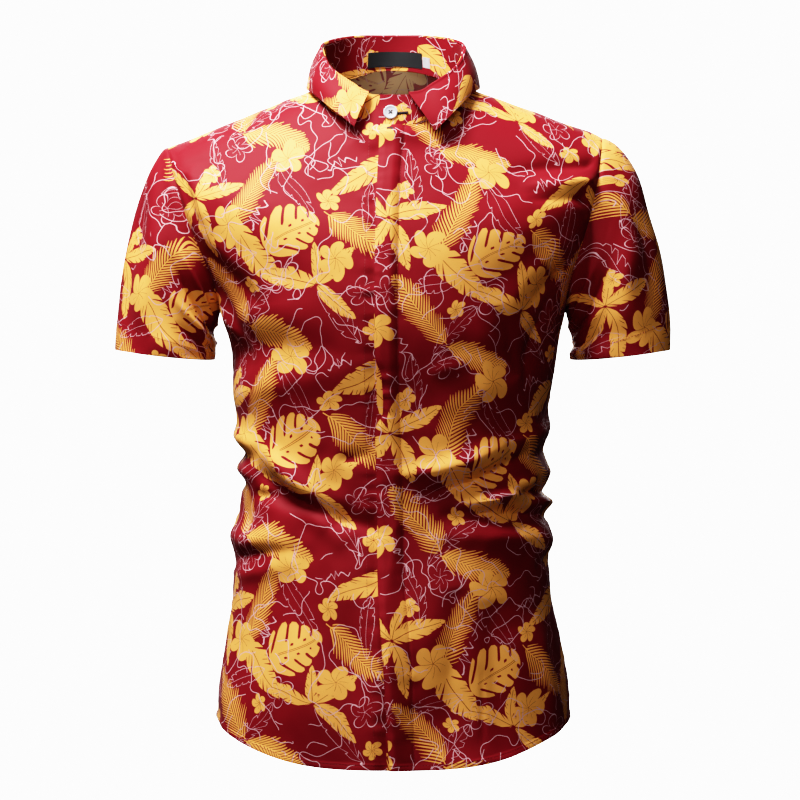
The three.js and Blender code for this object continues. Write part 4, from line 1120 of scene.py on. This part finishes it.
def cloth_shell(name, panel, node, materials, shift=(0, 0)):
    """The closed thin wall of a panel. Its inside has the last of the materials."""
    rows, columns = panel.points.shape[:2]
    uv_columns = panel.cut.shape[1]

    def corner(layer, i, j):
        """A corner's vertex, in the outer layer 0 or the inner layer 1, and its place in the cut."""
        return (layer * rows + i) * columns + j % columns, i * uv_columns + np.minimum(j, uv_columns - 1)

    cells = grid_cells(rows - 1, columns if panel.ring else columns - 1)
    groups = [[corner(0, *cell) for cell in cells], [corner(1, *cell) for cell in reversed(cells)]]
    span = np.arange(columns if panel.ring else columns - 1)
    steps = (0, 0, 1, 1)
    for i, layers in ((0, (0, 1, 1, 0)), (rows - 1, (1, 0, 0, 1))):
        groups.append([corner(layer, i + 0 * span, span + step) for layer, step in zip(layers, steps)])
    if not panel.ring:
        span = np.arange(rows - 1)
        for j, layers in ((0, (1, 0, 0, 1)), (columns - 1, (0, 1, 1, 0))):
            groups.append([corner(layer, span + step, j + 0 * span) for layer, step in zip(layers, steps)])
    faces, uv_index = (np.concatenate([np.stack([c[k] for c in group], axis=1) for group in groups])
                       for k in (0, 1))
    inside = np.zeros(len(faces), int)
    inside[len(cells[0][0]):2 * len(cells[0][0])] = len(materials) - 1
    vertices = np.concatenate([panel.outer().reshape(-1, 3), panel.inner().reshape(-1, 3)])
    if signed_volume(vertices, faces) < 0:
        faces, uv_index = faces[:, ::-1], uv_index[:, ::-1]
    uv = panel.cut.reshape(-1, 2)[uv_index.ravel()] + np.array(shift)
    obj = make_mesh(name, vertices, faces, materials, inside, uv)
    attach(obj, "root")
    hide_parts(node)
    return obj


def declare_cloth(obj, panel, held="hung"):
    """Works out a sheet's flat area in square metres from its cut, and declares nothing."""
    cut = panel.cut * MM
    a, c = cut[1:, 1:] - cut[:-1, :-1], cut[1:, :-1] - cut[:-1, 1:]
    area = float(np.abs(a[..., 0] * c[..., 1] - a[..., 1] * c[..., 0]).sum() / 2)


# Stitches: each a short thread, thickest in the middle, with both ends sunk into the cloth. The
# profile's rows are (share of its length, thickness, lift).
STITCH = {"length": 2.3, "gap": 0.8, "radius": 0.2, "sides": 5, "proud": 0.1}
STITCH_PROFILE = [(0.0, 0.35, -0.12), (0.18, 0.9, 0.0), (0.5, 1.0, 0.06), (0.82, 0.9, 0.0),
                  (1.0, 0.35, -0.12)]


def stitch_line(points, normals):
    """The stitches along a line of points on the cloth, each (vertices, faces)."""
    steps = np.linalg.norm(np.diff(points, axis=0), axis=-1)
    lengths = np.concatenate([[0], np.cumsum(steps)])
    count = max(1, int(lengths[-1] / (STITCH["length"] + STITCH["gap"])))
    starts = (np.arange(count) + 0.5) * lengths[-1] / count - STITCH["length"] / 2
    on_line = lambda at, values: np.stack([np.interp(at, lengths, values[:, k]) for k in range(3)], axis=-1)
    cosine, sine = circle(STITCH["sides"])
    rings = []
    for along, thickness, lift in STITCH_PROFILE:
        at = np.clip(starts + along * STITCH["length"], 0, lengths[-1])
        normal = unit(on_line(at, normals))
        side = unit(np.cross(unit(on_line(at + 0.2, points) - on_line(at - 0.2, points)), normal))
        centre = on_line(at, points) + normal * (STITCH["proud"] + lift)
        radius = STITCH["radius"] * thickness
        rings.append(centre[:, None] + radius * (cosine * side[:, None] + sine * normal[:, None]))
    return [tube(stitch) for stitch in np.stack(rings, axis=1)]


def row_line(panel, i):
    points, normals = panel.outer()[i], panel.normals[i]
    if panel.ring:
        points, normals = (np.concatenate([v, v[:1]]) for v in (points, normals))
    return points, normals


def column_line(panel, j):
    return panel.outer()[:, j], panel.normals[:, j]


def stitches(name, lines):
    parts = [part for line in lines for part in stitch_line(*line)]
    thread_piece(name, parts, thread)


# The collar: a stand that rises from the neck seam and laps over itself in front, and a leaf that is
# sewn to its top, rolled over and turned down to two points
STAND = {"x": 69.8, "front_y": -70, "back_y": 50, "end_left": -13, "end_right": 13}
STAND_TOP = curve_through([(0, -3.5), (16, -3), (24, -0.5), (33, 6.5), (56, 22), (90, 46.5), (120, 57.5),
                           (150, 63.8), (180, 65)])
LAP = {"from": 300, "to": 335, "depth": 1.6}
STAND_FOOT = {"out": 1.9, "reach": 22}
ROLL = {"rise": 2.2, "out": 3.6, "bulge": 3, "above": 0.3}
LEAF_START = {"left": 12.5, "right": 19}
POINT_SLIDE = {"x": 3, "z": -0.8, "until": 65}
LEAF_EDGE = [(16, 38, -86.5, -39.5), (42, 59, -75.5, -20), (65, 78, -43, -1), (90, 87, 4, 9),
             (120, 78, 42, 12), (150, 46, 69, 16), (180, 0, 77, 19)]
COLLAR = {"cloth": 1.0, "stand_rows": 16, "columns": 240, "leaf_rows": 30}
# Extra grid lines of the leaf: near its two ends, over its roll and near its edge
LEAF_LINES = {"ends": (0, 0.002, 0.005, 0.009), "from": 0.014, "far_ends": (0.991, 0.995, 0.998, 1),
              "over": 9, "edge": (1.955, 1.98, 1.992, 2)}
LEAF_STITCH = 1.93
leaf_edge = [curve_through([(row[0], row[k]) for row in LEAF_EDGE]) for k in (1, 2, 3)]


def neck_seam(turn):
    """The neck seam at angles round the neck in degrees, from the centre front over the left."""
    around = from_front(turn)
    behind = np.abs(around) > 90
    angle = np.radians(np.where(behind, np.sign(around) * (180 - np.abs(around)), around))
    front, rear = (Rows([3.0], is_back, 1).points(angle.reshape(1, -1))[0] for is_back in (False, True))
    return np.where(behind[:, None], rear, front)


def stand_top(turn):
    a = np.radians(turn)
    centre, depth = (STAND["front_y"] + STAND["back_y"]) / 2, (STAND["back_y"] - STAND["front_y"]) / 2
    return np.stack([STAND["x"] * np.sin(a), centre - depth * np.cos(a),
                     STAND_TOP(180 - np.abs(turn % 360 - 180))], axis=-1)


def outwards_at(turn):
    a = np.radians(turn)
    return np.stack([np.sin(a), -np.cos(a), 0 * a], axis=-1)


def stand_points(turn, height):
    low, high = neck_seam(turn), stand_top(turn)
    lap = LAP["depth"] * smooth(turn, LAP["from"], LAP["to"])
    return mix(low, high, height) - outwards_at(turn) * lap[:, None]


def strip_cut(points):
    """The flat cut of a narrow strip: its length along the rows, and its width down the columns."""
    along = np.linalg.norm(np.diff(points, axis=1), axis=-1).mean(axis=0)
    down = np.linalg.norm(np.diff(points, axis=0), axis=-1)
    u = np.concatenate([[0], np.cumsum(along)])
    v = np.concatenate([np.zeros((1, points.shape[1])), np.cumsum(down, axis=0)])
    return np.stack([np.broadcast_to(u, v.shape), v], axis=-1)


def end_turn(x):
    return math.degrees(math.asin(x / STAND["x"]))


def stand_panel():
    turns = np.linspace(end_turn(STAND["end_left"]), 360 + end_turn(STAND["end_right"]), COLLAR["columns"])
    heights = np.linspace(0, 1, COLLAR["stand_rows"])
    grid = np.stack([stand_points(turns, h) for h in heights])
    panel = Panel(grid, cloth=COLLAR["cloth"])
    panel.relief = waves(np.radians(turns)[None, :], grid[..., 2], STAND_WAVES, SEEDS["stand"])
    # Its foot follows the bulge of the front under it
    near_front = np.exp(-(from_front(turns) / STAND_FOOT["reach"]) ** 2)
    panel.relief = panel.relief + STAND_FOOT["out"] * near_front[None, :] * ((1 - heights) ** 2)[:, None]
    panel.cut = strip_cut(grid)
    return panel


def leaf_points(turn, s):
    """s runs 0 to 1 over the roll, from the seam on the stand's top, and 1 to 2 down to the edge."""
    around = np.where(turn > 180, 360 - turn, turn)
    top, outwards = stand_top(around), outwards_at(around)
    top[:, 2] += ROLL["above"]
    if s <= 1:
        a = math.pi * s
        p = top + outwards * ROLL["out"] * (1 - math.cos(a)) / 2
        p[:, 2] += ROLL["rise"] * math.sin(a)
    else:
        down = s - 1
        edge = np.stack([curve(around) for curve in leaf_edge], axis=-1)
        slid = np.where(turn > 180, -1, 1) * (1 - smooth(around, LEAF_EDGE[0][0], POINT_SLIDE["until"]))
        edge[:, 0] += POINT_SLIDE["x"] * slid
        edge[:, 2] += POINT_SLIDE["z"] * slid
        fold = top + outwards * ROLL["out"]
        p = mix(fold, edge, down) + outwards * ROLL["bulge"] * math.sin(math.pi * down)
    p[:, 0] *= np.where(turn > 180, -1, 1)
    return p


def leaf_panel():
    ends = np.array(LEAF_LINES["ends"])
    turned = np.linspace(LEAF_LINES["from"], 1 - LEAF_LINES["from"], COLLAR["columns"])
    spread = np.concatenate([ends, turned, LEAF_LINES["far_ends"]])
    turns = mix(LEAF_START["left"], 360 - LEAF_START["right"], spread)
    over, falling = np.linspace(0, 1, LEAF_LINES["over"]), np.linspace(1, 2, COLLAR["leaf_rows"])
    levels = np.concatenate([over, falling[1:-2], LEAF_LINES["edge"]])
    grid = np.stack([leaf_points(turns, s) for s in levels])
    panel = Panel(grid, cloth=COLLAR["cloth"])
    down = np.clip(levels - 1, 0, 1)[:, None]
    panel.relief = down * waves(np.radians(turns)[None, :], grid[..., 2], LEAF_WAVES, SEEDS["leaf"])
    panel.stitch_row = int(np.argmin(np.abs(levels - LEAF_STITCH)))
    panel.cut = strip_cut(grid[::-1])[::-1]
    return panel


# The buttonhole strip: its edges from the button line, its columns, its height and where it ends
BAND = {"from": -10.5, "to": 9.5, "columns": 12, "above": 0.1, "top": 2.9}


def band_panel():
    rows = Rows(row_steps[row_steps < BAND["top"]], False, 1)
    across = np.linspace(BAND["from"], BAND["to"], BAND["columns"]).reshape(1, -1)
    panel = Panel(rows.points(rows.angle_of(button_x(rows.zc) + across)))
    z = panel.points[..., 2]
    uneven = waves(0 * z, z, BAND_WAVES, SEEDS["band"])
    panel.relief = BAND["above"] + body_relief(np.zeros_like(z), z) * FLY["calm"] + uneven
    panel.cut = cut_map(panel.points, panel.normals, (0, 0, 1), 0)
    return panel


stand, leaf, band = stand_panel(), leaf_panel(), band_panel()

# Flat tapes on the inside of the stand, at the back of the neck
LABEL = {"from": -25, "to": 29, "low": 0.12, "high": 0.56, "gap": 0.35, "cloth": 0.5}
SIZE_TAB = {"from": 29.6, "to": 37, "low": 0.18, "high": 0.46, "gap": 0.35, "cloth": 0.4}
# A tape is thicker where its ends are turned under, and waves a little
TAPE = {"columns": 40, "rows": 16, "end": 0.06, "turned": 0.6, "bow": 0.25, "bows": 9}


def tape(name, node, size, material):
    x = np.linspace(size["from"], size["to"], TAPE["columns"])
    turns = 180 - np.degrees(np.arcsin(x / STAND["x"]))
    up = np.linspace(0, 1, TAPE["rows"])
    grid = np.stack([stand_points(turns, h) for h in mix(size["low"], size["high"], up)])
    panel = Panel(grid)
    panel.normals = -panel.normals
    across = np.linspace(0, 1, TAPE["columns"])[None, :]
    ends = np.minimum(1, np.minimum(across, 1 - across) / TAPE["end"])
    panel.cloth[:] = size["cloth"] * (1 + TAPE["turned"] - TAPE["turned"] * ends)
    bow = TAPE["bow"] * np.sin(TAPE["bows"] * across) * up[:, None]
    panel.relief = COLLAR["cloth"] + size["gap"] + size["cloth"] + bow
    panel.cut = strip_cut(grid)
    return cloth_shell(name, panel, node, [material]), panel


# Buttons: turned discs with a rim, a dish and four holes, with the thread that holds them
BUTTON = {"radius": 5.7, "rim": 2.0, "dish": 0.55, "hole": 0.75, "pitch": 1.35}
COLLAR_BUTTON = {"radius": 7.0, "rim": 2.4, "dish": 0.6, "hole": 0.8, "pitch": 1.35}
SIDES = 72
QUARTERS = ((1, 1), (1, -1), (-1, 1), (-1, -1))


def turned(profile):
    """Vertices and faces of a profile of (radius, height) points turned about the height axis."""
    r, z = (np.array(column, float)[:, None] for column in zip(*profile))
    cosine, sine = circle(SIDES)
    return tube(np.stack([r * cosine.T, r * sine.T, z + 0 * sine.T], axis=-1))


def button_frame(node):
    """The middle of a button's back and its axes, from its solid."""
    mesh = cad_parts[node].data
    points = np.empty(3 * len(mesh.vertices))
    mesh.vertices.foreach_get("co", points)
    points = points.reshape(-1, 3) / MM
    centre = (points.min(axis=0) + points.max(axis=0)) / 2
    normal = np.linalg.svd(points - points.mean(axis=0), full_matrices=False)[2][2]
    normal = normal if normal[1] < 0 else -normal
    across = unit(np.cross((0, 0, 1), normal))
    reach = (points - centre) @ normal
    return centre + normal * reach.min(), np.stack([-across, np.cross(normal, -across), normal])


def button(node, size):
    """A button with four holes, cut at 1000 times its size and then put in its solid's place."""
    radius, rim, dish = size["radius"], size["rim"], size["dish"]
    profile = [
        (0.6 * radius, 0), (radius - 0.7, 0.05), (radius - 0.25, 0.25), (radius, 0.7), (radius, rim - 0.7),
        (radius - 0.15, rim - 0.3), (radius - 0.5, rim - 0.06), (radius - 1.0, rim),
        (radius - 1.5, rim - 0.1), (radius - 2.1, rim - 0.6 * dish), (radius - 2.7, rim - dish),
        (0.5, rim - dish),
    ]
    vertices, faces = turned(profile)
    disc = make_mesh(node + "_disc", vertices / MM, faces, [button_plastic])
    hole, hole_faces = turned([(size["hole"], -1), (size["hole"], rim + 1)])
    holes = [(hole + np.array([x * size["pitch"], y * size["pitch"], 0]), hole_faces) for x, y in QUARTERS]
    vertices, faces = join_parts(holes)
    tool = make_mesh(node + "_tool", vertices / MM, faces, [])
    cut = disc.modifiers.new("holes", "BOOLEAN")
    cut.operation, cut.solver, cut.object = "DIFFERENCE", "EXACT", tool
    mesh = bpy.data.meshes.new_from_object(disc.evaluated_get(bpy.context.evaluated_depsgraph_get()))
    origin, axes = button_frame(node)
    points = np.empty(3 * len(mesh.vertices))
    mesh.vertices.foreach_get("co", points)
    mesh.vertices.foreach_set("co", ((origin + points.reshape(-1, 3) @ axes) * MM).ravel())
    mesh.update()
    for obj in (disc, tool):
        bpy.data.objects.remove(obj)
    made = bpy.data.objects.new(node + "_turned", mesh)
    bpy.context.scene.collection.objects.link(made)
    mesh.shade_smooth()
    mesh.set_sharp_from_angle(angle=math.radians(35))
    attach(made, "root")
    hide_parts(node)
    return origin, axes


# The threads in a button: how far apart they run, their radius, how deep they dive and how they bow
BUTTON_THREAD = {"asides": (-0.28, 0, 0.28), "radius": 0.17, "above": 0.15, "dive": 0.9, "bow": 0.25}


def button_threads(name, places):
    """Two crossing bundles of threads through each button's four holes."""
    parts = []
    t = np.linspace(-1, 1, 9)
    for (origin, axes), size in places:
        level = size["rim"] - size["dish"] + BUTTON_THREAD["above"]
        height = level - BUTTON_THREAD["dive"] * t**8 + BUTTON_THREAD["bow"] * (1 - t**2)
        for start, end in (((1, 1), (-1, -1)), ((1, -1), (-1, 1))):
            a, b = (np.array(v) * size["pitch"] for v in (start, end))
            middle = mix(a, b, ((t + 1) / 2)[:, None])
            sideways = np.array([b[1] - a[1], a[0] - b[0]]) / np.linalg.norm(b - a)
            for aside in BUTTON_THREAD["asides"]:
                local = np.column_stack([middle + sideways * aside * (1 - t[:, None] ** 8), height])
                parts.append(thread_tube(origin + local @ axes, axes[2], BUTTON_THREAD["radius"]))
    thread_piece(name, parts, dark_thread_and_painted_shadow)


def on_panel(panel, x, z):
    """The point on the first half of a panel's columns, in front, nearest to x and z, and its normal."""
    points = panel.outer()
    off = (points[..., 0] - x) ** 2 + (points[..., 2] - z) ** 2
    off[points[..., 1] > 0] = np.inf
    off[:, points.shape[1] // 2:] = np.inf
    at = np.unravel_index(np.argmin(off), off.shape)
    return points[at], panel.normals[at]


# Close stitches over a line: how far apart, their radius and how they bow
SATIN = {"pitch": 0.42, "radius": 0.24, "bow": 0.35, "sides": 6}


def satin(panel, start, end, width, lift):
    """Close stitches across a line from start to end, each (x, z): a buttonhole's edge, a tack, or a dark bar
    of painted shadow.
    """
    parts = []
    count = max(2, round(math.dist(start, end) / SATIN["pitch"]))
    (first, normal), (last, _) = on_panel(panel, *start), on_panel(panel, *end)
    across = np.cross(normal, unit(last - first))
    bow = np.linspace(-1, 1, 7)
    height = lift + SATIN["bow"] * (1 - bow**2)
    for k in range(count + 1):
        points = mix(first, last, k / count) + across * (bow * width / 2)[:, None] + normal * height[:, None]
        parts.append(thread_tube(points, normal, SATIN["radius"], SATIN["sides"]))
    return parts


# Where the dark stitching at the neck lies, and the dark bar of painted shadow, each (panel, start, end,
# width, lift)
TACKS_AND_SHADOW_BAR = [
    (stand, (1, -22.8), (14, -21.2), 2.4, 0.55),
    # A dark satin bar of painted shadow: it stands in for the shade in the gap where the stand's foot meets
    # the front
    (fronts[1], (-5, -38.2), (1, -38.2), 2.4, 0.1),
]

# The pieces, and where each is cut in the print, in millimetres
PRINT_SHIFTS = {
    "right_front": (10, 0), "left_front": (46, 22), "back": (115, 14), "right_sleeve": (30, 70),
    "left_sleeve": (150, 120), "buttonhole_band": (96, 150), "collar_stand": (40, 165),
    "collar_leaf": (170, 175),
}
PANELS = {
    "right_front": fronts[-1], "left_front": fronts[1], "back": back, "right_sleeve": sleeves[-1],
    "left_sleeve": sleeves[1], "buttonhole_band": band, "collar_stand": stand, "collar_leaf": leaf,
}
# Both layers of the collar show the print's right side
for node, panel in PANELS.items():
    materials = [printed_cloth] if node.startswith("collar") else [printed_cloth, wrong_side]
    piece = cloth_shell(node + "_cloth", panel, node, materials, PRINT_SHIFTS[node])
    declare_cloth(piece, panel)

FLY_STITCH_COLUMN = len(FLY_COLUMNS["edge"]) + FLY_COLUMNS["between"] + FLY_COLUMNS["stitch"].index(0)
stitches("hem_stitches", [row_line(panel, hem_row) for panel in (fronts[-1], fronts[1], back)])
stitches("sleeve_stitches", [row_line(panel, panel.hem_row) for panel in sleeves.values()])
stitches("front_stitches", [column_line(fronts[1], FLY_STITCH_COLUMN),
                            column_line(fronts[-1], UNDERLAP["columns"] - 1)])
stitches("collar_stitches", [row_line(leaf, leaf.stitch_row)])
# The tack by the collar button, and the dark bar that paints the shadow in the gap at the foot of the stand
thread_piece("neck_tacks_and_shadow_bar", [part for tack in TACKS_AND_SHADOW_BAR for part in satin(*tack)], dark_thread_and_painted_shadow)

declare_cloth(*tape("neck_label_tape", "neck_label", LABEL, label_tape), held="stretched")
tape("size_tab_tape", "size_tab", SIZE_TAB, tab_tape)

places = [(button("collar_button", COLLAR_BUTTON), COLLAR_BUTTON)]
for k in range(BUTTON_ROWS["count"]):
    places.append((button(f"front_button_{k + 1}", BUTTON), BUTTON))
button_threads("button_threads", places)


# The floor, the light and the camera
FLOOR_Z, FLOOR_HALF = -0.86, 12
floor_mesh = bpy.data.meshes.new("floor")
floor_corners = [(x * FLOOR_HALF, y * FLOOR_HALF, FLOOR_Z) for x, y in ((-1, -1), (1, -1), (1, 1), (-1, 1))]
floor_mesh.from_pydata(floor_corners, [], [(0, 1, 2, 3)])
floor = bpy.data.objects.new("floor", floor_mesh)
floor_mesh.materials.append(floor_paint)
floor.visible_diffuse = False
floor.visible_glossy = False
bpy.context.scene.collection.objects.link(floor)


def area_light(name, azimuth, elevation, distance, size, power, target=(0, 0, -0.3)):
    """A soft light that looks at a target. Azimuth 0 is in front, and 90 on the wearer's right."""
    a, e = math.radians(azimuth), math.radians(elevation)
    way = np.array([-math.sin(a) * math.cos(e), -math.cos(a) * math.cos(e), math.sin(e)])
    data = bpy.data.lights.new(name, "AREA")
    data.shape, data.size, data.size_y, data.energy = "RECTANGLE", size[0], size[1], power
    light = bpy.data.objects.new(name, data)
    light.location = np.array(target) + way * distance
    light.rotation_euler = Vector(way).to_track_quat("Z", "Y").to_euler()
    bpy.context.scene.collection.objects.link(light)


area_light("key_light", 50, 62, 1.7, (0.7, 0.7), 44, target=(0, 0, -0.15))
area_light("front_light", 5, 16, 2.6, (1.4, 1.4), 9.2)
area_light("back_light", 180, 22, 2.6, (2.2, 1.6), 40)

world = bpy.data.worlds.new("studio")
bpy.context.scene.world = world
world.use_nodes = True
tree = world.node_tree
tree.nodes.clear()
# The camera sees white, and the rest of the light that comes from around is faint
SEEN, AROUND = 2.0, 0.028
seen, around = (add_node(tree, "Background", {"Color": (1, 1, 1, 1), "Strength": strength}).outputs[0]
                for strength in (SEEN, AROUND))
by_camera = add_node(tree, "LightPath").outputs["Is Camera Ray"]
pick = add_node(tree, "MixShader", {"Fac": by_camera, 1: around, 2: seen})
add_node(tree, "OutputWorld", {"Surface": pick.outputs["Shader"]})

CAMERA = {"x": 0.007, "y": -3.5, "z": -0.303, "lens": 157.5}
camera_data = bpy.data.cameras.new("camera")
camera_data.lens, camera_data.sensor_width = CAMERA["lens"], 36
camera = bpy.data.objects.new("camera", camera_data)
camera.location = (CAMERA["x"], CAMERA["y"], CAMERA["z"])
camera.rotation_euler = (math.radians(90), 0, 0)
camera_data.clip_end = 100
bpy.context.scene.collection.objects.link(camera)
bpy.context.scene.camera = camera

# The picture's tones: deep in the shade, gentle in the light, and white from "white" up
TONE = {"slope": 1.6, "half": 0.116, "top": 1.08, "white": 1.35, "ceiling": 1.04}


def toned(light):
    powered = light ** TONE["slope"]
    return TONE["top"] * powered / (powered + TONE["half"])


view = bpy.context.scene.view_settings
view.view_transform = "Standard"
view.exposure, view.gamma = 0.0, 1.0
view.use_curve_mapping = True
view.curve_mapping.clip_max_x = TONE["white"]
view.curve_mapping.clip_max_y = TONE["ceiling"]
view.curve_mapping.extend = "HORIZONTAL"
tones = view.curve_mapping.curves[3]
tones.points[1].location = (TONE["white"], TONE["ceiling"])
for light in (0.01, 0.03, 0.06, 0.1, 0.16, 0.25, 0.4, 0.6, 0.9):
    tones.points.new(light, toned(light))
view.curve_mapping.update()
